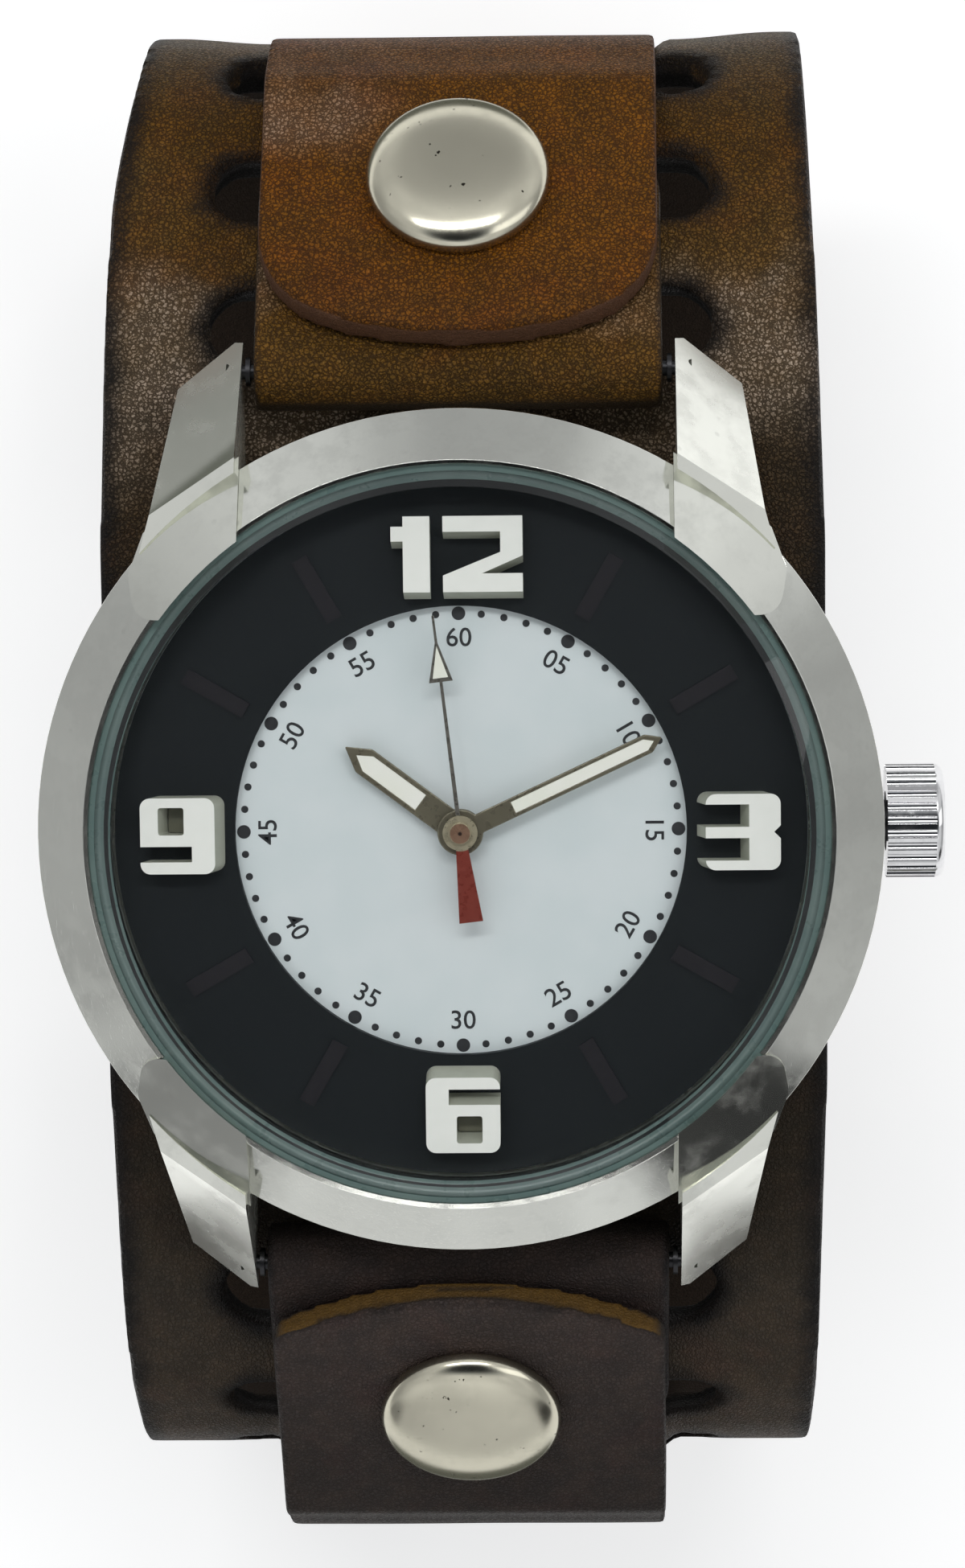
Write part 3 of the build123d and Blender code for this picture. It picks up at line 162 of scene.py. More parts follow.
def new_group(name, inputs, outputs, tree_kind="ShaderNodeTree"):
    """A node group with named inputs and outputs."""
    tree = bpy.data.node_groups.new(name, tree_kind)
    for label, kind, value in inputs:
        made = tree.interface.new_socket(label, in_out="INPUT", socket_type=kind)
        if value is not None:
            made.default_value = value
    for label, kind in outputs:
        tree.interface.new_socket(label, in_out="OUTPUT", socket_type=kind)
    return tree, place(tree, "NodeGroupInput").outputs, place(tree, "NodeGroupOutput").inputs


def use_group(tree, group, inputs):
    """Place a group in a material."""
    return place(tree, "ShaderNodeGroup", inputs, node_tree=group).outputs


FLOAT = "NodeSocketFloat"
VECTOR = "NodeSocketVector"
GEOMETRY = "NodeSocketGeometry"


# Shared effects


def make_leather_grain():
    """Pebbles with creases between them, of two sizes, and soft long wrinkles."""
    tree, given, out = new_group(
        "leather grain",
        [("Coords", VECTOR, None), ("Pebble Size", FLOAT, 0.3 * MM), ("Wrinkle", FLOAT, 0.3)],
        [("Height", FLOAT), ("Tone", FLOAT)],
    )
    scale = calc(tree, "DIVIDE", 1.0, given["Pebble Size"])
    wander = place(tree, "ShaderNodeTexNoise", {"Vector": given["Coords"], "Scale": 1900.0}).outputs[1]
    shift = vector_calc(tree, "SCALE", wander, 0.2 * MM)
    coords = vector_calc(tree, "ADD", given["Coords"], shift)
    heights = []
    for finer, weight in ((1.0, 0.6), (1.9, 0.4)):
        inputs = {"Vector": coords, "Scale": product(tree, scale, finer)}
        cell = place(tree, "ShaderNodeTexVoronoi", inputs, feature="DISTANCE_TO_EDGE")
        pebble = between(tree, cell.outputs["Distance"], 0.0, 0.3)
        heights.append(product(tree, pebble, weight))
    pebbles = calc(tree, "ADD", *heights)
    specks = cloudy(tree, given["Coords"], product(tree, scale, 1.3), 2.0, 0.6)
    wrinkle = cloudy(tree, given["Coords"], 330.0, 4.0, 0.6)
    long_fold = product(tree, wrinkle, given["Wrinkle"])
    tree.links.new(calc(tree, "ADD", pebbles, long_fold), out["Height"])
    half = product(tree, pebbles, 0.5)
    tree.links.new(calc(tree, "MULTIPLY_ADD", specks, 0.7, half), out["Tone"])
    return tree


def make_edge_wear():
    """A ragged mask, 1 at the piece's own edges and 0 beyond the reach."""
    tree, given, out = new_group(
        "edge wear",
        [("Coords", VECTOR, None), ("Reach", FLOAT, 2.0), ("Ragged", FLOAT, 0.6)],
        [("Mask", FLOAT)],
    )
    rough = cloudy(tree, given["Coords"], 420.0, 4.0, 0.6)
    off_middle = calc(tree, "SUBTRACT", rough, 0.5)
    swing = product(tree, off_middle, given["Ragged"], given["Reach"], 2.0)
    moved = calc(tree, "ADD", attribute(tree, "edge_mm"), swing)
    mask = between(tree, calc(tree, "DIVIDE", moved, given["Reach"]), 0.0, 1.0, 1.0, 0.0)
    tree.links.new(mask, out["Mask"])
    return tree


def make_handling():
    """Finger smudges, fine scratches and small pits on polished metal."""
    tree, given, out = new_group(
        "handling marks",
        [("Coords", VECTOR, None), ("Mark Size", FLOAT, 3 * MM), ("Pits", FLOAT, 0.5)],
        [("Smudge", FLOAT), ("Pit", FLOAT), ("Height", FLOAT)],
    )
    scale = calc(tree, "DIVIDE", 1.0, given["Mark Size"])
    broad = cloudy(tree, given["Coords"], scale, 5.0, 0.65)
    smudge = between(tree, broad, 0.42, 0.68)
    cells = place(tree, "ShaderNodeTexVoronoi", {"Vector": given["Coords"], "Scale": 900.0})
    spots = between(tree, cells.outputs["Distance"], 0.12, 0.2, 1.0, 0.0)
    chance = between(tree, cloudy(tree, given["Coords"], 260.0, 2.0), 0.6, 0.66)
    pit = product(tree, spots, chance, given["Pits"])
    stretch = {"Vector": given["Coords"], "Rotation": (0.3, 0.2, 0.7), "Scale": (1, 0.04, 1)}
    scratch = cloudy(tree, place(tree, "ShaderNodeMapping", stretch).outputs[0], 9000.0, 2.0)
    scratch = product(tree, between(tree, scratch, 0.6, 0.75), 0.3)
    tree.links.new(smudge, out["Smudge"])
    tree.links.new(pit, out["Pit"])
    height = calc(tree, "SUBTRACT", product(tree, broad, 0.5), pit)
    tree.links.new(calc(tree, "SUBTRACT", height, scratch), out["Height"])
    return tree


def make_turned_lines():
    """Fine circular lines, as a lathe leaves, round the watch's middle."""
    tree, given, out = new_group(
        "turned lines",
        [("Coords", VECTOR, None), ("Spacing", FLOAT, 0.05 * MM)],
        [("Height", FLOAT)],
    )
    parts = split_up(tree, given["Coords"])
    across = product(tree, parts[0], parts[0])
    along = product(tree, parts[1], parts[1])
    radius = calc(tree, "SQRT", calc(tree, "ADD", across, along))
    step = calc(tree, "DIVIDE", radius, given["Spacing"])
    bend = product(tree, calc(tree, "ARCTAN2", parts[1], parts[0]), 0.6)
    coords = place(tree, "ShaderNodeCombineXYZ", {0: step, 1: bend, 2: parts[2]}).outputs[0]
    tree.links.new(cloudy(tree, coords, 1.0, 2.0), out["Height"])
    return tree


LEATHER_GRAIN = make_leather_grain()
EDGE_WEAR = make_edge_wear()
HANDLING = make_handling()
TURNED_LINES = make_turned_lines()


# Materials


def new_material(name):
    """A material with a Principled shader: the tree, the shader and object coordinates."""
    made = bpy.data.materials.new(name)
    made.use_nodes = True
    tree = made.node_tree
    tree.nodes.clear()
    shader = place(tree, "ShaderNodeBsdfPrincipled")
    output = place(tree, "ShaderNodeOutputMaterial")
    tree.links.new(shader.outputs[0], output.inputs[0])
    coords = place(tree, "ShaderNodeTexCoord").outputs["Object"]
    return made, tree, shader, coords


def set_shader(tree, shader, **values):
    """Constants set on the shader's own sockets, and outputs joined to them."""
    for name, value in values.items():
        feed(tree, shader.inputs[name.replace("_", " ")], value)


def bump(tree, shader, height, strength, distance):
    """Join a height to the shader's normal."""
    inputs = {"Height": height, "Strength": strength, "Distance": distance}
    set_shader(tree, shader, Normal=place(tree, "ShaderNodeBump", inputs).outputs[0])


def toned(tree, colour, *share):
    """A colour with each part multiplied."""
    return tint(tree, 1.0, colour, (*share, 1.0), "MULTIPLY")


# Leather: how fine each kind of unevenness is, per metre, and how the grain and the tone (dye and painted
# shade) lie

PATCH_SCALE = 95.0
REDDER_SCALE = 210.0
MOTTLE_SCALE = 520.0
FIBRE_SCALE = 2600.0
PEBBLE_SIZE = 0.25 * MM
BAND_LENGTH = 92 * MM
DYE_AND_SHADE_DRIFT = 16 * MM
LEATHER_SHINE = 0.13
EDGE_BLACK = rgb(13, 13, 15)
# Colour of the painted sheen: pale glints on the grain's tops
PAINTED_SHEEN_PALE = rgb(200, 182, 166)
RAW_FLESH = rgb(88, 66, 32)
RAW_END_Y = -32 * MM
RAW_END_HALF_W = 10.9 * MM
RAW_END_HEIGHT = 36 * MM


def dye_and_shade_along(tree, coords, where, redder, stops):
    """The tone along the band, partly dye and partly painted shade (darker on the 6 o'clock side, where less
    light falls), mottled, and redder in patches.
    """
    along = calc(tree, "MULTIPLY_ADD", where, 1 / BAND_LENGTH, 0.5)
    colour = colours_along(tree, along, stops)
    mottle = between(tree, cloudy(tree, coords, MOTTLE_SCALE, 5.0, 0.7), 0.35, 0.7)
    darker = toned(tree, colour, 0.84, 0.86, 0.9)
    lighter = toned(tree, colour, 1.2, 1.14, 1.1)
    colour = tint(tree, mottle, darker, lighter)
    warmer = toned(tree, colour, 1.12, 0.92, 0.95)
    return tint(tree, between(tree, redder, 0.5, 0.7, 0.0, 0.6), colour, warmer)


def painted_sheen_mask(tree, parts, where, redder, tone, sheen_band):
    """Painted sheen: pale glints on the tops of the grain, in a band across, faded out on the right."""
    low_y, high_y, right_x, amount = sheen_band
    return product(
        tree,
        between(tree, where, (low_y - 2) * MM, (low_y + 4) * MM),
        between(tree, where, (high_y + 5) * MM, high_y * MM),
        between(tree, parts[0], (right_x + 4) * MM, (right_x - 4) * MM),
        between(tree, redder, 0.3, 0.65, 0.45, 1.0),
        between(tree, tone, 0.52, 0.86, 0.08, amount),
    )


def raw_mask(tree, parts, face_on, low_y):
    """Where a tab is cut raw: the wall across its end, clear of the corners."""
    return product(
        tree,
        between(tree, parts[1], low_y, low_y + MM),
        between(tree, face_on, 0.2, 0.5, 1.0, 0.0),
        between(tree, calc(tree, "ABSOLUTE", parts[0]), RAW_END_HALF_W, RAW_END_HALF_W - 0.7 * MM),
        between(tree, parts[2], RAW_END_HEIGHT, RAW_END_HEIGHT + MM),
    )


def leather(name, stops, reach, wall, edge=0.88, raw=None, sheen_band=None):
    """Antiqued leather: its tone, partly dye and partly painted shade, runs along the band; its edges are
    dark, and its hidden parts carry painted shade.

    reach is how far in the dark edge goes, in millimetres. raw is the Y in metres above which the
    end is cut raw, and its colour. The pale band is a painted sheen, pale glints on the grain's tops
    where light falls; the argument for it gives the band's low and high Y and right X in millimetres, and how
    pale it is.
    """
    made, tree, shader, coords = new_material(name)
    grain = use_group(tree, LEATHER_GRAIN, {"Coords": coords, "Pebble Size": PEBBLE_SIZE})
    wear = use_group(tree, EDGE_WEAR, {"Coords": coords, "Reach": reach})["Mask"]
    parts = split_up(tree, coords)
    patches = calc(tree, "SUBTRACT", cloudy(tree, coords, PATCH_SCALE, 4.0, 0.6), 0.5)
    where = calc(tree, "MULTIPLY_ADD", patches, DYE_AND_SHADE_DRIFT, parts[1])
    redder = cloudy(tree, coords, REDDER_SCALE, 3.0, 0.6)
    colour = dye_and_shade_along(tree, coords, where, redder, stops)
    # Grain tone: darker creases and paler pebble tops, partly the grain's own tone and partly painted shade
    # and highlight, full towards 12 o'clock where the light falls and weaker towards 6.
    creases = toned(tree, colour, 0.46, 0.44, 0.4)
    tops = toned(tree, colour, 1.8, 1.86, 2.0)
    grained = tint(tree, between(tree, grain["Tone"], 0.42, 0.86), creases, tops)
    tops_glint_share = between(tree, parts[1], -18 * MM, 22 * MM, 0.35, 1.0)
    colour = tint(tree, tops_glint_share, colour, grained)
    # Painted sheen: pale glints painted on the grain's tops in a band where light falls
    if sheen_band:
        pale = painted_sheen_mask(tree, parts, where, redder, grain["Tone"], sheen_band)
        colour = tint(tree, pale, colour, PAINTED_SHEEN_PALE)
    colour = tint(tree, product(tree, wear, edge), colour, EDGE_BLACK)
    facing = attribute(tree, "outside")
    face_on = calc(tree, "ABSOLUTE", facing)
    fibres = cloudy(tree, coords, FIBRE_SCALE, 4.0, 0.7)
    wall_low = toned(tree, wall, 0.7, 0.7, 0.7)
    wall_high = toned(tree, wall, 1.35, 1.32, 1.3)
    cut = between(tree, face_on, 0.4, 0.65, 1.0, 0.0)
    colour = tint(tree, cut, colour, tint(tree, fibres, wall_low, wall_high))
    if raw:
        low_y, flesh = raw
        raw_low = toned(tree, flesh, 0.5, 0.46, 0.44)
        raw_high = toned(tree, flesh, 1.6, 1.6, 1.5)
        end = raw_mask(tree, parts, face_on, low_y)
        colour = tint(tree, end, colour, tint(tree, fibres, raw_low, raw_high))
    # Painted shade: whatever lies a millimetre or more inside the cuff's outer face, such as the strap under
    # the cuff, is painted near black, and the flesh side facing in is darkened, partly the flesh's own colour
    # and partly painted shade.
    shade_under_cuff = between(tree, attribute(tree, "over_mm"), -0.5, -1.0)
    inner = between(tree, facing, -0.4, -0.7)
    colour = tint(tree, shade_under_cuff, colour, tint(tree, fibres, rgb(6, 6, 6), rgb(20, 17, 14)))
    colour = tint(tree, inner, colour, tint(tree, fibres, rgb(32, 26, 21), rgb(52, 42, 34)))
    worn = between(tree, grain["Tone"], 0.3, 0.8, 0.6, 0.4)
    rough = calc(tree, "MULTIPLY_ADD", calc(tree, "MAXIMUM", shade_under_cuff, inner), 0.35, worn)
    set_shader(tree, shader, Base_Color=colour, Roughness=rough, Specular_IOR_Level=LEATHER_SHINE)
    depth = calc(tree, "MULTIPLY_ADD", fibres, 0.2, grain["Height"])
    bump(tree, shader, depth, 0.75, 0.1 * MM)
    return made


def dulled(colour, share):
    """A colour with a share of its light taken off."""
    return tuple(part * (1 - share) for part in colour[:3]) + (1.0,)


def polished(
    name, colour, rough, mark_size=4.0, pits=0.4, smudge_rough=0.12, dull=0.12, spot=None, satin=None
):
    """Plated metal with finger marks, fine scratches and a few pits.

    spot is where chips in the plating crowd together. satin is the height below which it is duller.
    """
    made, tree, shader, coords = new_material(name)
    marks = use_group(tree, HANDLING, {"Coords": coords, "Mark Size": mark_size * MM, "Pits": pits})
    base = tint(tree, marks["Smudge"], colour, dulled(colour, dull))
    base = tint(tree, marks["Pit"], base, rgb(60, 58, 56))
    if spot:
        away = measure(tree, "LENGTH", vector_calc(tree, "SUBTRACT", coords, spot))
        dense = between(tree, away, 1.3 * MM, 0.4 * MM, 0.0, 0.24)
        chips = calc(tree, "ADD", cloudy(tree, coords, 2300.0, 2.0, 0.6), dense)
        base = tint(tree, between(tree, chips, 0.7, 0.74), base, rgb(58, 54, 48))
    roughness = calc(tree, "MULTIPLY_ADD", marks["Smudge"], smudge_rough, rough)
    roughness = calc(tree, "MULTIPLY_ADD", marks["Pit"], 0.4, roughness)
    metallic = 1.0
    if satin:
        flank = between(tree, split_up(tree, coords)[2], satin, satin - MM)
        roughness = calc(tree, "MULTIPLY_ADD", flank, 0.1, roughness)
        metallic = calc(tree, "MULTIPLY_ADD", flank, -0.2, 1.0)
    set_shader(tree, shader, Base_Color=base, Roughness=roughness, Metallic=metallic)
    bump(tree, shader, marks["Height"], 0.12, 0.02 * MM)
    return made


def turned_metal(name, colour, rough, spacing=0.06):
    """Metal with lathe lines round the middle."""
    made, tree, shader, coords = new_material(name)
    lines = use_group(tree, TURNED_LINES, {"Coords": coords, "Spacing": spacing * MM})["Height"]
    marks = use_group(tree, HANDLING, {"Coords": coords, "Mark Size": 5 * MM, "Pits": 0.2})
    base = tint(tree, marks["Smudge"], colour, dulled(colour, 0.2))
    roughness = calc(tree, "MULTIPLY_ADD", lines, 0.15, rough)
    set_shader(tree, shader, Base_Color=base, Roughness=roughness, Metallic=1.0)
    bump(tree, shader, lines, 0.35, 0.02 * MM)
    return made


def moulded(name, colour, second, rough, grain=1800.0, depth=0.02, metallic=0.0, coat=0.0):
    """Plastic, print or paint with a faint uneven tone and a fine texture."""
    made, tree, shader, coords = new_material(name)
    tone = cloudy(tree, coords, 240.0, 4.0, 0.6)
    fine = cloudy(tree, coords, grain, 3.0, 0.6)
    base = tint(tree, between(tree, tone, 0.3, 0.7), colour, second)
    roughness = between(tree, fine, 0.2, 0.8, rough - 0.06, rough + 0.06)
    set_shader(tree, shader, Base_Color=base, Roughness=roughness, Metallic=metallic, Coat_Weight=coat)
    bump(tree, shader, fine, 0.25, depth * MM)
    return made


# Heights over the dial where the painted highlight on the raised bars begins and where it is full

BARS_LOW = 0.58 * MM
BARS_HIGH = 0.64 * MM


def raised_ring_black():
    """The dial's black ring, whose raised index bars have a painted highlight: a paler tone by height."""
    made, tree, shader, coords = new_material("chapter black")
    fine = cloudy(tree, coords, 3000.0, 4.0, 0.7)
    tone = tint(tree, fine, rgb(6, 12, 15), rgb(14, 20, 23))
    top = between(tree, split_up(tree, coords)[2], DIAL_HEIGHT + BARS_LOW, DIAL_HEIGHT + BARS_HIGH)
    base = tint(tree, top, tone, rgb(26, 24, 28))
    roughness = between(tree, fine, 0.2, 0.8, 0.5, 0.62)
    set_shader(tree, shader, Base_Color=base, Roughness=roughness, Specular_IOR_Level=0.25)
    bump(tree, shader, fine, 0.2, 0.01 * MM)
    return made


def numeral_paint():
    """White tops on the hour numerals, with grey flanks below."""
    made, tree, shader, coords = new_material("numeral white")
    normal = place(tree, "ShaderNodeNewGeometry").outputs["Normal"]
    up = split_up(tree, normal)[2]
    fine = cloudy(tree, coords, 1500.0, 4.0, 0.6)
    white = tint(tree, fine, rgb(238, 238, 231), rgb(248, 247, 241))
    flank = tint(tree, fine, rgb(164, 166, 152), rgb(188, 190, 176))
    face = tint(tree, between(tree, up, 0.5, 0.9), flank, white)
    set_shader(tree, shader, Base_Color=face, Roughness=between(tree, fine, 0.2, 0.8, 0.35, 0.5))
    bump(tree, shader, fine, 0.15, 0.01 * MM)
    return made


# Where the second hand's colours change, from its centre

TAIL_START = 0.85 * MM
HUB_R = 0.96 * MM
HUB_CAP_R = 0.53 * MM
PIVOT_R = 0.09 * MM


def second_hand_paint():
    """A dark needle, a brassy hub with a red-brown cap, and a red-brown counterweight."""
    made, tree, shader, coords = new_material("second metal")
    along = (math.sin(SECOND_BEARING), math.cos(SECOND_BEARING), 0.0)
    reach = measure(tree, "DOT_PRODUCT", coords, along)
    tail = between(tree, reach, -TAIL_START, -TAIL_START - 0.15 * MM)
    radius = measure(tree, "LENGTH", vector_calc(tree, "MULTIPLY", coords, (1.0, 1.0, 0.0)))
    hub = between(tree, radius, HUB_R, HUB_R + 0.04 * MM, 1.0, 0.0)
    cap = between(tree, radius, HUB_CAP_R, HUB_CAP_R + 0.03 * MM, 1.0, 0.0)
    # The dark dot at the centre is painted shade standing in for the pivot hole.
    pivot_shade = between(tree, radius, PIVOT_R, PIVOT_R + 0.04 * MM, 1.0, 0.0)
    fine = cloudy(tree, coords, 2400.0, 3.0)
    needle = tint(tree, fine, rgb(108, 104, 98), rgb(136, 132, 124))
    lacquer = tint(tree, fine, rgb(116, 46, 38), rgb(138, 62, 50))
    painted = tint(tree, tail, needle, lacquer)
    painted = tint(tree, hub, painted, tint(tree, fine, rgb(176, 166, 140), rgb(196, 186, 160)))
    painted = tint(tree, cap, painted, tint(tree, fine, rgb(120, 92, 74), rgb(138, 108, 88)))
    painted = tint(tree, pivot_shade, painted, rgb(52, 38, 32))
    lacquered = calc(tree, "MAXIMUM", calc(tree, "SUBTRACT", tail, hub), cap)
    metallic = calc(tree, "MULTIPLY_ADD", lacquered, -0.4, 0.6)
    roughness = between(tree, fine, 0.2, 0.8, 0.24, 0.36)
    set_shader(tree, shader, Base_Color=painted, Roughness=roughness, Metallic=metallic)
    bump(tree, shader, fine, 0.1, 0.01 * MM)
    return made


def clear_crystal():
    """Mineral glass; light passes straight through it to the dial."""
    made, tree, shader, coords = new_material("crystal glass")
    specks = cloudy(tree, coords, 700.0, 5.0, 0.7)
    roughness = between(tree, specks, 0.62, 0.8, 0.0, 0.03)
    set_shader(tree, shader, Base_Color=rgb(252, 254, 254), Roughness=roughness, Metallic=0.0)
    set_shader(tree, shader, IOR=1.47, Transmission_Weight=1.0)
    path = place(tree, "ShaderNodeLightPath").outputs
    passes = calc(tree, "MAXIMUM", path["Is Shadow Ray"], path["Is Diffuse Ray"])
    clear = place(tree, "ShaderNodeBsdfTransparent", {0: (0.985, 0.99, 0.99, 1.0)})
    mixed = place(tree, "ShaderNodeMixShader", {0: passes, 1: shader.outputs[0], 2: clear.outputs[0]})
    output = next(node for node in tree.nodes if node.type == "OUTPUT_MATERIAL")
    tree.links.new(mixed.outputs[0], output.inputs[0])
    return made


# Tones along each piece of leather, from 6 o'clock (0) to 12 o'clock (1): partly dye and partly painted
# shade, darker towards 6 o'clock where less light falls

CUFF_TONES = [
    (0.0, rgb(66, 56, 44)),
    (0.1, rgb(66, 56, 45)),
    (0.2, rgb(56, 49, 40)),
    (0.28, rgb(46, 39, 30)),
    (0.5, rgb(40, 33, 24)),
    (0.7, rgb(56, 44, 28)),
    (0.77, rgb(82, 65, 38)),
    (0.83, rgb(88, 64, 26)),
    (0.9, rgb(82, 54, 8)),
    (1.0, rgb(72, 58, 30)),
]
TAB_TONES_12 = [
    (0.0, rgb(62, 44, 28)),
    (0.6, rgb(72, 48, 22)),
    (0.76, rgb(94, 56, 10)),
    (0.86, rgb(100, 60, 4)),
    (0.94, rgb(98, 60, 4)),
    (1.0, rgb(76, 46, 8)),
]
LOOP_TONES_12 = [
    (0.0, rgb(60, 44, 30)),
    (0.7, rgb(72, 52, 18)),
    (0.8, rgb(96, 66, 20)),
    (1.0, rgb(88, 58, 20)),
]
TAB_TONES_6 = [
    (0.0, rgb(44, 37, 34)),
    (0.08, rgb(50, 43, 39)),
    (0.19, rgb(64, 55, 51)),
    (0.26, rgb(58, 49, 44)),
    (1.0, rgb(54, 45, 38)),
]
LOOP_TONES_6 = [(0.0, rgb(56, 49, 46)), (0.25, rgb(44, 36, 33)), (1.0, rgb(44, 36, 32))]

# Below FLANK_TOP the case is duller; round CHIPPED_SPOT the cap at 12 o'clock has lost its plating

FLANK_TOP = DIAL_HEIGHT + 2.3 * MM
CHIPPED_SPOT = (3.0 * MM, 35.6 * MM, 42.6 * MM)

MATERIALS = (
    # The pale bands given to the cuff, the 12 o'clock strap and its loop are painted sheen.
    leather("cuff leather", CUFF_TONES, 1.7, rgb(20, 16, 14), sheen_band=(20, 27, 30, 0.75)),
    leather("strap leather 12", TAB_TONES_12, 0.45, rgb(84, 58, 42), edge=0.45, sheen_band=(36, 39, -5, 0.5)),
    leather("strap leather 6", TAB_TONES_6, 0.5, rgb(36, 31, 28), edge=0.6, raw=(RAW_END_Y, RAW_FLESH)),
    leather("loop leather 12", LOOP_TONES_12, 0.5, rgb(44, 34, 22), edge=0.7, sheen_band=(27, 27.5, 30, 0.7)),
    leather("loop leather 6", LOOP_TONES_6, 0.6, rgb(30, 25, 23)),
    leather("keeper leather", TAB_TONES_6, 0.6, rgb(34, 29, 27), edge=0.6),
    polished("case chrome", rgb(234, 235, 227), 0.11, 3.5, 0.1, satin=FLANK_TOP),
    polished("bezel chrome", rgb(230, 231, 224), 0.09, 2.2, 0.1),
    polished("crown chrome", rgb(225, 225, 226), 0.1, 2.0, 0.2),
    polished("snap nickel", rgb(202, 198, 180), 0.17, 2.5, 0.3, 0.06, 0.06, spot=CHIPPED_SPOT),
    polished("snap steel", rgb(190, 188, 184), 0.25),
    polished("buckle nickel", rgb(208, 202, 194), 0.16, 3.0, 0.5),
    polished("buckle steel", rgb(196, 193, 188), 0.2),
    # The bar steel is painted far darker than steel's own tone: painted shade, so that the spring bars and
    # their pins show dark.
    polished("bar steel", rgb(64, 64, 66), 0.4),
    turned_metal("back steel", rgb(196, 196, 198), 0.24),
    turned_metal("bridge steel", rgb(188, 186, 180), 0.3, 0.09),
    turned_metal("battery steel", rgb(198, 198, 198), 0.28, 0.08),
    turned_metal("stator iron", rgb(150, 146, 140), 0.4, 0.1),
    turned_metal("wheel brass", rgb(204, 166, 92), 0.28, 0.04),
    moulded("coil copper", rgb(186, 106, 62), rgb(150, 78, 44), 0.35, 5200.0, 0.03, 1.0),
    moulded("hand metal", rgb(122, 116, 98), rgb(112, 106, 90), 0.3, 2600.0, 0.006, 0.5),
    second_hand_paint(),
    moulded("lume cream", rgb(246, 244, 236), rgb(238, 238, 224), 0.6, 2600.0, 0.02),
    moulded("dial white", rgb(222, 228, 229), rgb(215, 223, 224), 0.42, 4200.0, 0.004, coat=0.15),
    moulded("gasket teal", rgb(100, 118, 114), rgb(86, 106, 103), 0.3, 900.0, 0.01),
    moulded("rubber black", rgb(26, 26, 27), rgb(34, 34, 35), 0.6, 1400.0, 0.02),
    moulded("movement plastic", rgb(222, 220, 212), rgb(208, 206, 198), 0.45, 1600.0, 0.02),
    moulded("wheel plastic", rgb(232, 228, 214), rgb(216, 210, 196), 0.4, 1600.0, 0.01),
    moulded("board green", rgb(34, 92, 56), rgb(26, 76, 46), 0.35, 1400.0, 0.01, coat=0.3),
    moulded("print black", rgb(34, 35, 38), rgb(44, 45, 48), 0.45, 3000.0, 0.004),
    moulded("bowl olive", rgb(112, 110, 92), rgb(96, 96, 80), 0.5, 1600.0, 0.008),
    raised_ring_black(),
    numeral_paint(),
    clear_crystal(),
)
FINISHES = {material.name.replace(" ", "_"): material for material in MATERIALS}

# The CAD nodes in each finish; the leather nodes are drawn anew further down

NODES_OF_FINISH = {
    "case_chrome": ("case_body",),
    "bezel_chrome": ("bezel_ring",),
    "crystal_glass": ("crystal",),
    "gasket_teal": ("crystal_gasket",),
    "back_steel": ("case_back",),
    "rubber_black": ("back_gasket", "crown_oring"),
    "dial_white": ("dial_plate",),
    "chapter_black": ("chapter_ring",),
    "numeral_white": ("hour_numerals",),
    "movement_plastic": ("spacer_ring", "main_plate"),
    "bridge_steel": ("train_bridge", "battery_clamp", "setting_lever"),
    "stator_iron": ("stator",),
    "coil_copper": ("coil",),
    "battery_steel": ("battery", "quartz_can"),
    "board_green": ("circuit_board",),
    "hand_metal": ("hour_hand", "minute_hand"),
    "second_metal": ("second_hand",),
    "lume_cream": ("hour_lume", "minute_lume"),
    "wheel_plastic": ("hour_wheel", "minute_wheel", "fourth_wheel", "third_wheel", "fifth_wheel"),
    "wheel_brass": ("centre_wheel", "rotor"),
    "crown_chrome": ("crown",),
    "bar_steel": (
        "bridge_screws", "stem", "crown_tube", "bar_tube_12", "bar_tube_6",
        "bar_pin_12_right", "bar_pin_12_left", "bar_pin_6_right", "bar_pin_6_left",
    ),
    "snap_nickel": ("snap_cap_12", "snap_cap_6"),
    "snap_steel": ("snap_socket_12", "snap_socket_6", "snap_stud_12", "snap_stud_6"),
    "buckle_nickel": ("buckle_frame", "buckle_tongue"),
    "buckle_steel": ("buckle_bar",),
}
FINISH_OF_NODE = {node: finish for finish, members in NODES_OF_FINISH.items() for node in members}

for node, finish in FINISH_OF_NODE.items():
    if not nodes[node].material_slots:
        nodes[node].data.materials.append(None)
    for material_slot in nodes[node].material_slots:
        material_slot.material = FINISHES[finish]


# Making pieces


def show(name, data):
    """A new object in the scene, at the origin."""
    made = bpy.data.objects.new(name, data)
    bpy.context.scene.collection.objects.link(made)
    return made


def show_work(name, work):
    """Show a finished bmesh as a new object and let the bmesh go."""
    mesh = bpy.data.meshes.new(name)
    work.to_mesh(mesh)
    work.free()
    return show(name, mesh)


def settle(piece, finish, node=None, body="watch"):
    """Give a finished piece its material and its body, and hide the CAD node it stands for."""
    piece.data.materials.clear()
    piece.data.materials.append(FINISHES[finish])
    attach(piece, body_of_node[node] if node else body)
    if node:
        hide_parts(node)


def welded(node, name):
    """A copy of a CAD solid with its loose triangles joined."""
    mesh = nodes[node].data.copy()
    mesh.name = name
    for leftover in [layer for layer in mesh.attributes if layer.name == "custom_normal"]:
        mesh.attributes.remove(leftover)
    work = bmesh.new()
    work.from_mesh(mesh)
    bmesh.ops.remove_doubles(work, verts=work.verts, dist=WELD)
    work.to_mesh(mesh)
    work.free()
    return show(name, mesh)


def evaluated_mesh(piece):
    """A plain mesh of an object as it shows, with its modifiers or its text worked out."""
    bpy.context.view_layer.update()
    shown = piece.evaluated_get(bpy.context.evaluated_depsgraph_get())
    return bpy.data.meshes.new_from_object(shown)


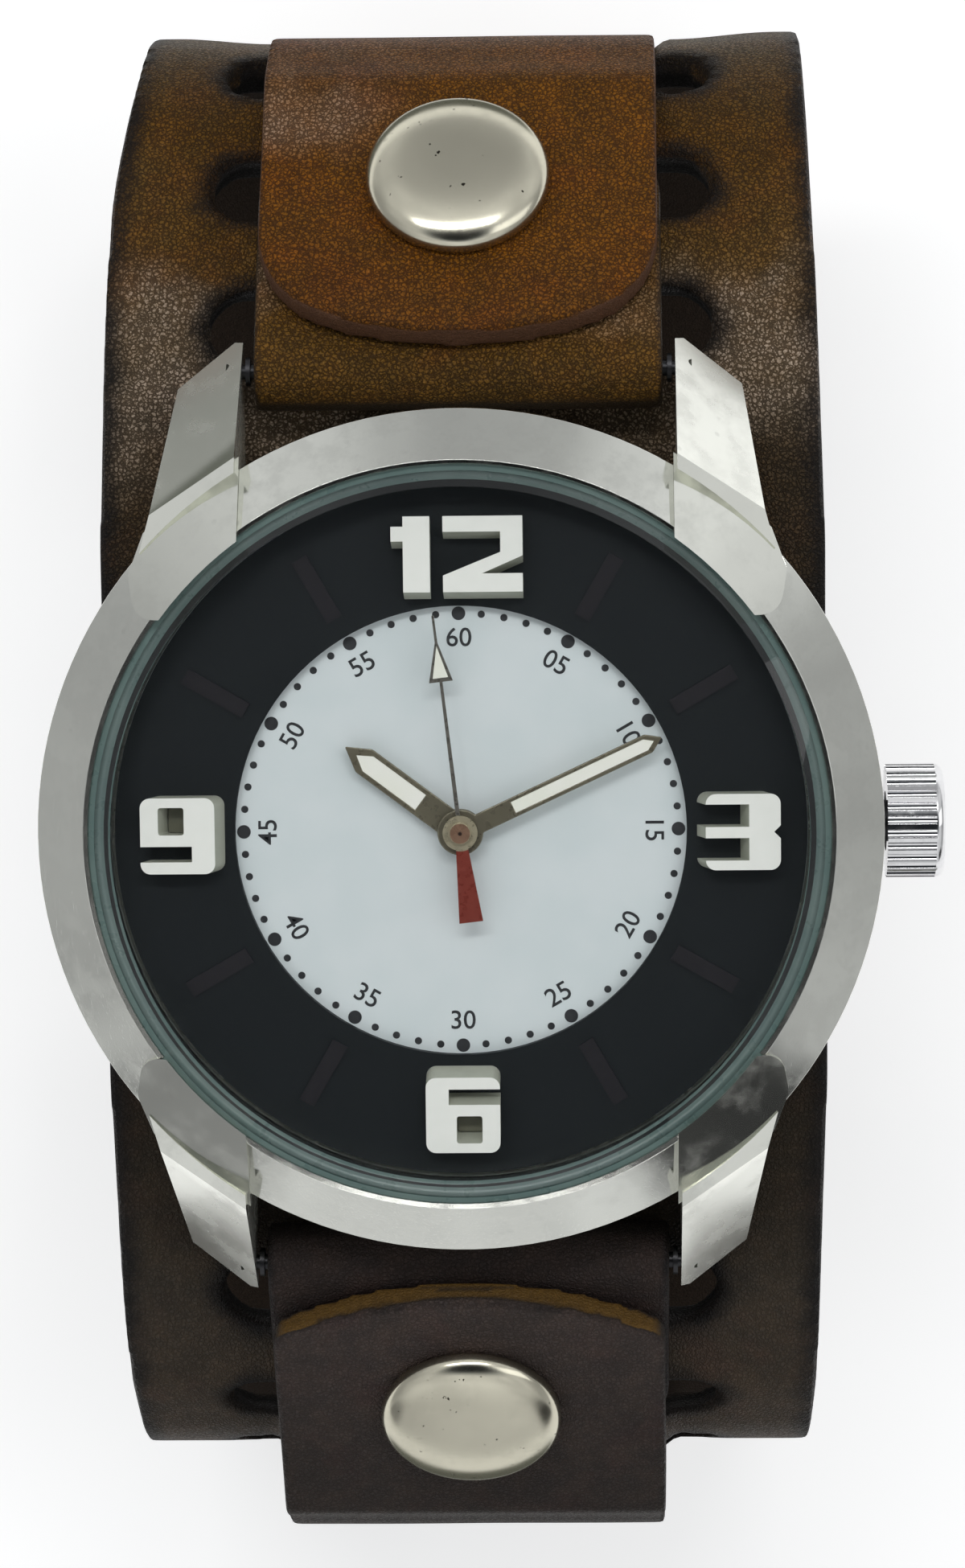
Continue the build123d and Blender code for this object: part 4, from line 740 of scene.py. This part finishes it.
def bake_modifiers(piece):
    """Turn the evaluated object into its own plain mesh."""
    mesh = evaluated_mesh(piece)
    piece.modifiers.clear()
    piece.data = mesh
    return piece


def edge_points(mesh, angle, spacing):
    """Points along the edges where two faces meet at more than an angle."""
    work = bmesh.new()
    work.from_mesh(mesh)
    points = []
    for edge in work.edges:
        if len(edge.link_faces) == 2 and edge.calc_face_angle(0.0) > angle:
            first, last = (corner.co for corner in edge.verts)
            count = max(1, int((last - first).length / spacing))
            points += [first.lerp(last, step / count) for step in range(count + 1)]
    work.free()
    return points


def tree_of(points):
    """A search tree over points."""
    tree = KDTree(len(points))
    for index, point in enumerate(points):
        tree.insert(point, index)
    tree.balance()
    return tree


def ease(value, low, high):
    """A smooth step from 0 at low to 1 at high."""
    share = min(1.0, max(0.0, (value - low) / (high - low)))
    return share * share * (3 - 2 * share)


# How the worn leather departs from the drawn loop, in millimetres: strap and cuff are pressed in
# at the hips, the cuff's wings flare out at 12 o'clock and lean in at 6 o'clock.

HIP_START = 40.5
HIP_END = 43.5
HIP_PRESS_12 = 0.9
HIP_PRESS_6 = 1.2
WING_START = 9.0
WING_FULL = 12.0
WING_OUTER = 18.0
TAB_SLIDE = 1.1


def worn_cuff(x, y, z):
    """The cuff's shape as it has been worn."""
    wing = ease(abs(x), WING_START, WING_FULL)
    if y > 0:
        flare = (1.3 + 0.4 * ease(abs(x), WING_FULL, WING_OUTER)) * wing
        y += flare * ease(y, 34.5, 42.0) * ease(-z, -37.0, -23.0)
        y -= HIP_PRESS_12 * ease(y, HIP_START, HIP_END) * (1 - wing)
        if x < 0:
            x *= 1 - 0.05 * ease(y, 33.0, 44.0)
    else:
        y += 0.38 * max(0.0, -y - 33.0) * (0.35 + 0.65 * wing) * ease(z, 8.0, 20.0)
    return x, y, z


def worn_buckle_strap(x, y, z):
    """The 12 o'clock strap, drawn in at its hip."""
    return x, y - HIP_PRESS_12 * ease(y, HIP_START, HIP_END), z


def worn_hole_strap(x, y, z):
    """The 6 o'clock strap, drawn in at its hip; its tab ends a little further out."""
    y += HIP_PRESS_6 * ease(-y, HIP_START, HIP_END)
    if z > 30:
        slide = TAB_SLIDE * ease(y, -31.0, -26.0)
        y -= slide * math.cos(SNAP_LEAN)
        z -= slide * math.sin(SNAP_LEAN)
    return x, y, z


WORN = {"cuff": worn_cuff, "buckle_strap": worn_buckle_strap, "hole_strap": worn_hole_strap}
EDGE_ANGLE = math.radians(50)
EDGE_SPACING = 0.4 * MM
UNEVEN = 0.05 * MM
UNEVEN_SCALE = 110.0
LOOP_MIDDLE = Vector((0.0, 0.0, 25.0)) * MM
FACING_OUT = 0.6


def leather_piece(node, voxel, smooth_steps=4):
    """Leather in the place of its CAD solid: rounded edges, uneven faces, worn shape."""
    piece = welded(node, f"{node}_hide")
    corners = tree_of(edge_points(piece.data, EDGE_ANGLE, EDGE_SPACING))
    skin = piece.modifiers.new("skin", "REMESH")
    skin.mode = "VOXEL"
    skin.voxel_size = voxel * MM
    soften = piece.modifiers.new("soften", "SMOOTH")
    soften.factor = 0.5
    soften.iterations = smooth_steps
    bake_modifiers(piece)
    mesh = piece.data
    worn = WORN.get(node)
    near = np.empty(len(mesh.vertices), np.float32)
    moved = []
    for index, vertex in enumerate(mesh.vertices):
        point = vertex.co
        near[index] = corners.find(point)[2] / MM
        point = point + vertex.normal * noise.noise(point * UNEVEN_SCALE) * UNEVEN
        if worn:
            point = Vector(worn(*(point / MM))) * MM
        moved.append(point)
    mesh.vertices.foreach_set("co", np.array(moved, np.float32).ravel())
    mesh.attributes.new("edge_mm", "FLOAT", "POINT").data.foreach_set("value", near)
    mesh.shade_smooth()
    mesh.update()
    return piece


def outer_face(piece):
    """The cuff's outer points and their normals."""
    points, normals = [], []
    for vertex in piece.data.vertices:
        away = vertex.co - LOOP_MIDDLE
        away.x = 0.0
        if vertex.normal.dot(away.normalized()) > FACING_OUT:
            points.append(vertex.co.copy())
            normals.append(vertex.normal.copy())
    return tree_of(points), normals


def measure_sides(piece, outer):
    """For each point: does it face out of the band, and how far outside the cuff does it lie."""
    tree, normals = outer
    facing, over = [], []
    for vertex in piece.data.vertices:
        nearest, index, _ = tree.find(vertex.co)
        facing.append(vertex.normal.dot(normals[index]))
        over.append((vertex.co - nearest).dot(normals[index]) / MM)
    for label, values in (("outside", facing), ("over_mm", over)):
        piece.data.attributes.new(label, "FLOAT", "POINT").data.foreach_set("value", values)


def keep_facets_flat(mesh, angle):
    """Normals from the larger faces alone, so that rounds end in flat facets."""
    limit = math.cos(math.radians(angle))
    around = [[] for _ in mesh.vertices]
    for face in mesh.polygons:
        if face.material_index == 0:
            for corner in face.vertices:
                around[corner].append((face.normal.copy(), face.area))
    normals = []
    for face in mesh.polygons:
        for corner in face.vertices:
            own = face.normal
            if face.material_index and around[corner]:
                own = max((normal for normal, _ in around[corner]), key=own.dot)
            total = Vector()
            for normal, area in around[corner]:
                if normal.dot(own) > limit:
                    total += normal * area
            if total.length == 0:
                total = mesh.vertices[corner].normal
            normals.append(total.normalized())
    for face in mesh.polygons:
        face.material_index = 0
    mesh.normals_split_custom_set(normals)


def softened(node, width, angle=20.0):
    """A rigid piece with small rounds on its sharp edges."""
    piece = welded(node, f"{node}_finished")
    piece.data.shade_smooth()
    piece.data.materials.clear()
    for _ in range(2):
        piece.data.materials.append(None)
    for face in piece.data.polygons:
        face.material_index = 0
    rounds = piece.modifiers.new("rounds", "BEVEL")
    rounds.width = width * MM
    rounds.segments = 2
    rounds.limit_method = "ANGLE"
    rounds.angle_limit = math.radians(angle)
    rounds.material = 1
    bake_modifiers(piece)
    keep_facets_flat(piece.data, angle)
    return piece


def turned_piece(name, profile, base, axis, steps=72):
    """A profile of (radius, height) turned about an axis, closed at both ends."""
    side = Vector((1, 0, 0))
    other = axis.cross(side)
    work = bmesh.new()
    rings = []
    for radius, height in profile:
        centre = base + axis * height
        if radius == 0:
            rings.append([work.verts.new(centre)] * steps)
            continue
        ring = []
        for step in range(steps):
            angle = math.tau * step / steps
            ring.append(work.verts.new(centre + (side * math.cos(angle) + other * math.sin(angle)) * radius))
        rings.append(ring)
    for first, second in zip(rings, rings[1:]):
        for step in range(steps):
            after = (step + 1) % steps
            corners = dict.fromkeys((first[step], first[after], second[after], second[step]))
            work.faces.new(list(corners))
    bmesh.ops.recalc_face_normals(work, faces=work.faces)
    piece = show_work(name, work)
    piece.data.shade_smooth()
    return piece


# Leather pieces, with the size of their voxels; the cuff comes first and is what the rest lie on

cuff_face = None
for node, finish, voxel in (
    ("cuff", "cuff_leather", 0.42),
    ("buckle_strap", "strap_leather_12", 0.32),
    ("hole_strap", "strap_leather_6", 0.34),
    ("bar_loop_12", "loop_leather_12", 0.24),
    ("bar_loop_6", "loop_leather_6", 0.24),
    ("fixed_keeper", "keeper_leather", 0.22),
    ("free_keeper", "keeper_leather", 0.22),
):
    hide = leather_piece(node, voxel)
    cuff_face = cuff_face or outer_face(hide)
    measure_sides(hide, cuff_face)
    settle(hide, finish, node)


# Rigid pieces whose sharp edges catch the light, with the width of their rounds

for node, width in (
    ("case_body", 0.12),
    ("bezel_ring", 0.1),
    ("buckle_frame", 0.15),
    ("hour_hand", 0.07),
    ("minute_hand", 0.07),
    ("second_hand", 0.04),
):
    settle(softened(node, width), FINISH_OF_NODE[node], node)


# Snap caps: a full dome that ends in a rolled rim, with the post below

CAP_R = 5.1 * MM
CAP_DOME = 1.5 * MM
CAP_RIM = 0.35 * MM
CAP_FULLNESS = 2.7
DOME_STEPS = 24
RIM_STEPS = 8
POST_R = 1.2 * MM
POST_DEEP = 0.7 * MM


def cap_profile():
    """Radius and height of a cap from its crown down to its post."""
    profile = []
    for step in range(DOME_STEPS + 1):
        turn = math.pi / 2 * step / DOME_STEPS
        radius = math.sin(turn) ** (2 / CAP_FULLNESS) * CAP_R
        profile.append((radius, CAP_RIM + math.cos(turn) ** (2 / CAP_FULLNESS) * CAP_DOME))
    for step in range(1, RIM_STEPS + 1):
        turn = math.pi / 2 * step / RIM_STEPS
        profile.append((CAP_R - CAP_RIM * (1 - math.cos(turn)), CAP_RIM * (1 - math.sin(turn))))
    return profile + [(POST_R, 0.0), (POST_R, -POST_DEEP), (0, -POST_DEEP)]


for node, lean in (("snap_cap_12", SNAP_LEAN), ("snap_cap_6", -SNAP_LEAN)):
    axis = Vector((0, math.sin(lean), math.cos(lean)))
    along = Vector((0, math.cos(lean), -math.sin(lean)))
    points = [vertex.co for vertex in nodes[node].data.vertices]
    across = [point.dot(along) for point in points]
    top = max(point.dot(axis) for point in points)
    base = along * (max(across) + min(across)) / 2 + axis * (top - CAP_DOME - CAP_RIM)
    settle(turned_piece(f"{node}_shell", cap_profile(), base, axis), "snap_nickel", node)


# Print on the dial

PRINT_HEIGHT = 0.012 * MM
DOT_RING_R = 11.85 * MM
DOT_COUNT = 60
DOT_R = 0.2 * MM
HOUR_DOT_R = 0.375 * MM
DOTS_PER_HOUR = 5.0
DOT_SIDES = 20


def dot_ring_tree():
    """Geometry nodes: a ring of dots, every fifth one larger."""
    inputs = [
        ("Geometry", GEOMETRY, None),
        ("Ring Radius", FLOAT, DOT_RING_R),
        ("Count", "NodeSocketInt", DOT_COUNT),
        ("Dot Radius", FLOAT, DOT_R),
        ("Hour Dot Radius", FLOAT, HOUR_DOT_R),
        ("Print Height", FLOAT, PRINT_HEIGHT),
        ("Dial Height", FLOAT, DIAL_HEIGHT),
        ("Material", "NodeSocketMaterial", None),
    ]
    tree, given, out = new_group("dot ring", inputs, [("Geometry", GEOMETRY)], "GeometryNodeTree")
    ring = place(tree, "GeometryNodeMeshCircle", {"Vertices": given["Count"], "Radius": given["Ring Radius"]})
    index = place(tree, "GeometryNodeInputIndex").outputs[0]
    step = calc(tree, "MODULO", index, DOTS_PER_HOUR)
    on_hour = place(tree, "FunctionNodeCompare", {0: step, 1: 0.5}, operation="LESS_THAN").outputs[0]
    others = place(tree, "FunctionNodeBooleanMath", {0: on_hour}, operation="NOT").outputs[0]
    joined = place(tree, "GeometryNodeJoinGeometry")
    for radius, chosen in (("Hour Dot Radius", on_hour), ("Dot Radius", others)):
        inputs = {"Vertices": DOT_SIDES, "Radius": given[radius], "Depth": given["Print Height"]}
        dot = place(tree, "GeometryNodeMeshCylinder", inputs).outputs[0]
        inputs = {"Points": ring.outputs[0], "Selection": chosen, "Instance": dot}
        spread = place(tree, "GeometryNodeInstanceOnPoints", inputs).outputs[0]
        tree.links.new(spread, joined.inputs[0])
    half = calc(tree, "MULTIPLY_ADD", given["Print Height"], 0.5, given["Dial Height"])
    up = place(tree, "ShaderNodeCombineXYZ", {2: half}).outputs[0]
    raised = place(tree, "GeometryNodeTransform", {"Geometry": joined.outputs[0], "Translation": up})
    real = place(tree, "GeometryNodeRealizeInstances", {0: raised.outputs[0]})
    inputs = {"Geometry": real.outputs[0], "Material": given["Material"]}
    inked = place(tree, "GeometryNodeSetMaterial", inputs)
    tree.links.new(inked.outputs[0], out["Geometry"])
    return tree


def grown(name, tree, **values):
    """Run a geometry node tree with its named inputs and keep the plain mesh."""
    piece = show(name, bpy.data.meshes.new(name))
    modifier = piece.modifiers.new("grown", "NODES")
    modifier.node_group = tree
    for item in tree.interface.items_tree:
        key = item.name.replace(" ", "_")
        if item.in_out == "INPUT" and key in values:
            modifier[item.identifier] = values[key]
    return bake_modifiers(piece)


dots = grown("dial_dots", dot_ring_tree(), Material=FINISHES["print_black"])
settle(dots, "print_black")


# Minute numbers: outlines grown by a share of their size, and the lower third stands upright

NUMBER_RING_R = 10.5 * MM
NUMBER_SIZE = 1.45 * MM
GROWN_SHARE = 0.006
UPRIGHT_FROM = 20
UPRIGHT_TO = 40


def minute_numbers():
    """60 and then 05 to 55 round the dial."""
    whole = bmesh.new()
    for step in range(12):
        minute = step * 5 or 60
        line = bpy.data.curves.new("number", "FONT")
        line.body = f"{minute:02d}"
        line.align_x = line.align_y = "CENTER"
        line.extrude = PRINT_HEIGHT / NUMBER_SIZE / 2
        line.offset = GROWN_SHARE
        line.resolution_u = 4
        writer = show("number", line)
        mesh = evaluated_mesh(writer)
        bearing = -math.radians(6 * minute)
        turn = bearing
        if UPRIGHT_FROM <= minute <= UPRIGHT_TO:
            turn += math.pi
        centre = Vector((-math.sin(bearing), math.cos(bearing), 0)) * NUMBER_RING_R
        centre.z = DIAL_HEIGHT + PRINT_HEIGHT / 2
        mesh.transform(
            Matrix.Translation(centre) @ Matrix.Rotation(turn, 4, "Z") @ Matrix.Scale(NUMBER_SIZE, 4)
        )
        whole.from_mesh(mesh)
        bpy.data.objects.remove(writer)
        bpy.data.meshes.remove(mesh)
    bmesh.ops.remove_doubles(whole, verts=whole.verts, dist=WELD / 10)
    return show_work("minute_numbers", whole)


settle(minute_numbers(), "print_black")


# Olive floors inside the bowls of the 9 and the 6, and where their middles lie

BOWL_W = 1.34 * MM
BOWL_H = 1.44 * MM
BOWL_LOW = 0.55 * MM
BOWL_HIGH = 0.75 * MM
BOWL_CORNER = 0.14 * MM
CORNER_STEPS = 4
BOWL_PLACES = {
    "bowl_floor_9": (-15.225 * MM, 0.8 * MM),
    "bowl_floor_6": (0.35 * MM, -15.775 * MM),
}


def raised_outline(name, outline, low, high):
    """A thin plate with an outline of (X, Y) points, between two heights over the dial."""
    work = bmesh.new()
    ring = [work.verts.new((x, y, DIAL_HEIGHT + low)) for x, y in outline]
    top = bmesh.ops.extrude_face_region(work, geom=[work.faces.new(ring)])["geom"]
    raised = [item for item in top if isinstance(item, bmesh.types.BMVert)]
    bmesh.ops.translate(work, verts=raised, vec=(0, 0, high - low))
    bmesh.ops.recalc_face_normals(work, faces=work.faces)
    return show_work(name, work)


def bowl_outline(centre_x, centre_y):
    """The bowl's opening, with rounded corners."""
    outline = []
    for quarter in range(4):
        sign_x = 1 if quarter in (0, 3) else -1
        sign_y = 1 if quarter in (0, 1) else -1
        for step in range(CORNER_STEPS + 1):
            angle = math.pi / 2 * (quarter + step / CORNER_STEPS)
            x = centre_x + sign_x * (BOWL_W / 2 - BOWL_CORNER) + BOWL_CORNER * math.cos(angle)
            y = centre_y + sign_y * (BOWL_H / 2 - BOWL_CORNER) + BOWL_CORNER * math.sin(angle)
            outline.append((x, y))
    return outline


for name, centre in BOWL_PLACES.items():
    plate = raised_outline(name, bowl_outline(*centre), BOWL_LOW, BOWL_HIGH)
    settle(plate, "bowl_olive")


# Pale inlay in the second hand's flag

FLAG_IN = 8.52 * MM
FLAG_OUT = 10.25 * MM
FLAG_W = 0.84 * MM
FLAG_LOW = 1.4 * MM
FLAG_HIGH = 1.52 * MM

flag_corners = ((-FLAG_W / 2, FLAG_IN), (FLAG_W / 2, FLAG_IN), (0, FLAG_OUT))
to_bearing = Matrix.Rotation(-SECOND_BEARING, 2)
flag_outline = [to_bearing @ Vector(corner) for corner in flag_corners]
flag = raised_outline("second_flag_inlay", flag_outline, FLAG_LOW, FLAG_HIGH)
settle(flag, "lume_cream", body=body_of_node["second_hand"])


# Tinted ring under the glass's bevel

RING_IN = 18.92 * MM
RING_OUT = 19.66 * MM
RING_LOW = 2.47 * MM
RING_HIGH = 2.5 * MM
RING_STEPS = 128

ring_profile = [
    (RING_IN, RING_LOW),
    (RING_IN, RING_HIGH),
    (RING_OUT, RING_HIGH),
    (RING_OUT, RING_LOW),
    (RING_IN, RING_LOW),
]
dial_middle = Vector((0, 0, DIAL_HEIGHT))
upward = Vector((0, 0, 1))
glass_ring = turned_piece("glass_tint_ring", ring_profile, dial_middle, upward, RING_STEPS)
settle(glass_ring, "gasket_teal")


# Studio: grey patches on the floor that are seen in reflections alone, with the radius where
# each is full and the radius where it ends

FLOOR_HALF = 3.0
FLOOR_GLOW = 0.45
DIM_FLOOR_PATCHES = (
    ((-88 * MM, 112 * MM, 0.0), 45 * MM, 75 * MM),
    ((-4 * MM, 135 * MM, 0.0), 50 * MM, 70 * MM),
    ((-4 * MM, -130 * MM, 0.0), 50 * MM, 66 * MM),
)


def floor():
    """Pale floor that shows white and keeps the shadow."""
    work = bmesh.new()
    bmesh.ops.create_grid(work, x_segments=1, y_segments=1, size=FLOOR_HALF)
    made = show_work("floor", work)
    material, tree, shader, coords = new_material("floor white")
    fine = cloudy(tree, coords, 60.0)
    path = place(tree, "ShaderNodeLightPath").outputs
    dim = 0.0
    for spot, full, none in DIM_FLOOR_PATCHES:
        away = measure(tree, "LENGTH", vector_calc(tree, "SUBTRACT", coords, spot))
        dim = calc(tree, "MAXIMUM", between(tree, away, none, full), dim)
    dim = product(tree, dim, path["Is Glossy Ray"])
    pale = tint(tree, fine, rgb(226, 226, 226), rgb(232, 232, 232))
    base = tint(tree, dim, pale, rgb(84, 86, 80))
    light = tint(tree, dim, (1, 1, 1, 1), rgb(80, 82, 74))
    seen = calc(tree, "MAXIMUM", path["Is Camera Ray"], path["Is Glossy Ray"])
    seen = calc(tree, "MAXIMUM", seen, path["Is Transmission Ray"])
    glow = product(tree, seen, FLOOR_GLOW)
    set_shader(tree, shader, Base_Color=base, Roughness=0.8, Emission_Color=light, Emission_Strength=glow)
    made.data.materials.append(material)


# Where the room is dimmer or brighter: a direction, how many degrees from it the patch is full
# and where it ends, and its share of light. The sky's tones run from below (0) to above (1).

ROOM_PATCHES = (
    ((0.581, -0.8, 0.131), 10, 17, 0.06),
    ((-0.624, -0.773, 0.085), 8, 17, 0.45),
    ((0.673, 0.67, 0.3), 8, 20, 1.5),
    ((-0.673, 0.67, 0.3), 8, 20, 1.15),
    ((0.0, 0.956, 0.297), 12, 26, 0.66),
)
SKY_TONES = [
    (0.0, rgb(236, 236, 236)),
    (0.5, rgb(192, 193, 194)),
    (0.66, rgb(192, 193, 194)),
    (0.8, rgb(222, 223, 224)),
    (0.92, rgb(232, 233, 234)),
    (0.955, rgb(150, 153, 156)),
    (0.975, rgb(40, 43, 46)),
    (1.0, rgb(30, 33, 36)),
]


def sky():
    """Soft room light, brighter at both ends of the watch and dark straight overhead."""
    world = bpy.data.worlds.new("studio")
    bpy.context.scene.world = world
    world.use_nodes = True
    tree = world.node_tree
    tree.nodes.clear()
    coords = place(tree, "ShaderNodeTexCoord").outputs["Generated"]
    parts = split_up(tree, coords)
    colour = colours_along(tree, calc(tree, "MULTIPLY_ADD", parts[2], 0.5, 0.5), SKY_TONES)
    along = product(tree, parts[1], parts[1])
    across = product(tree, parts[0], parts[0])
    ends = calc(tree, "SUBTRACT", along, across)
    level = calc(tree, "MULTIPLY_ADD", ends, 0.3, 1.0)
    uneven = between(tree, cloudy(tree, coords, 2.6, 2.0), 0.3, 0.7, 0.86, 1.14)
    level = product(tree, level, uneven)
    for direction, full, none, share in ROOM_PATCHES:
        facing = measure(tree, "DOT_PRODUCT", coords, direction)
        inner = math.cos(math.radians(full))
        outer = math.cos(math.radians(none))
        level = product(tree, level, between(tree, facing, outer, inner, 1.0, share))
    room = vector_calc(tree, "SCALE", colour, level)
    seen = place(tree, "ShaderNodeLightPath").outputs["Is Camera Ray"]
    back = place(tree, "ShaderNodeBackground", {0: tint(tree, seen, room, (1, 1, 1, 1)), 1: 1.0})
    output = place(tree, "ShaderNodeOutputWorld")
    tree.links.new(back.outputs[0], output.inputs[0])


LAMP_TARGET = Vector((0, 0, 0.045))


def lamp(name, spot, size, power):
    """A soft oblong lamp that faces the watch."""
    data = bpy.data.lights.new(name, "AREA")
    data.shape = "RECTANGLE"
    data.size, data.size_y = size
    data.energy = power
    made = show(name, data)
    made.location = spot
    made.rotation_euler = (LAMP_TARGET - Vector(spot)).to_track_quat("-Z", "Y").to_euler()


def camera():
    """The camera as it stood for the photograph."""
    data = bpy.data.cameras.new("camera")
    data.sensor_width = SENSOR
    data.lens = PHOTO_FOCAL / PHOTO_TALL * SENSOR
    data.clip_start = 0.01
    made = show("camera", data)
    to_camera = Matrix.Identity(3)
    for angle, axis in zip(CAMERA_TURN, "XYZ"):
        to_camera = Matrix.Rotation(angle, 3, axis) @ to_camera
    x, y, z = CAMERA_FROM_DIAL
    stand = Matrix.Translation((x, y, z + DIAL_HEIGHT))
    made.matrix_world = stand @ to_camera.transposed().to_4x4()
    bpy.context.scene.camera = made


floor()
sky()
lamp("key", spot=(-0.04, 0.4, 0.66), size=(0.6, 0.1), power=1.7)
lamp("fill", spot=(0.5, 0.1, 0.5), size=(0.3, 0.5), power=0.5)
camera()
bpy.context.scene.view_settings.view_transform = "Standard"
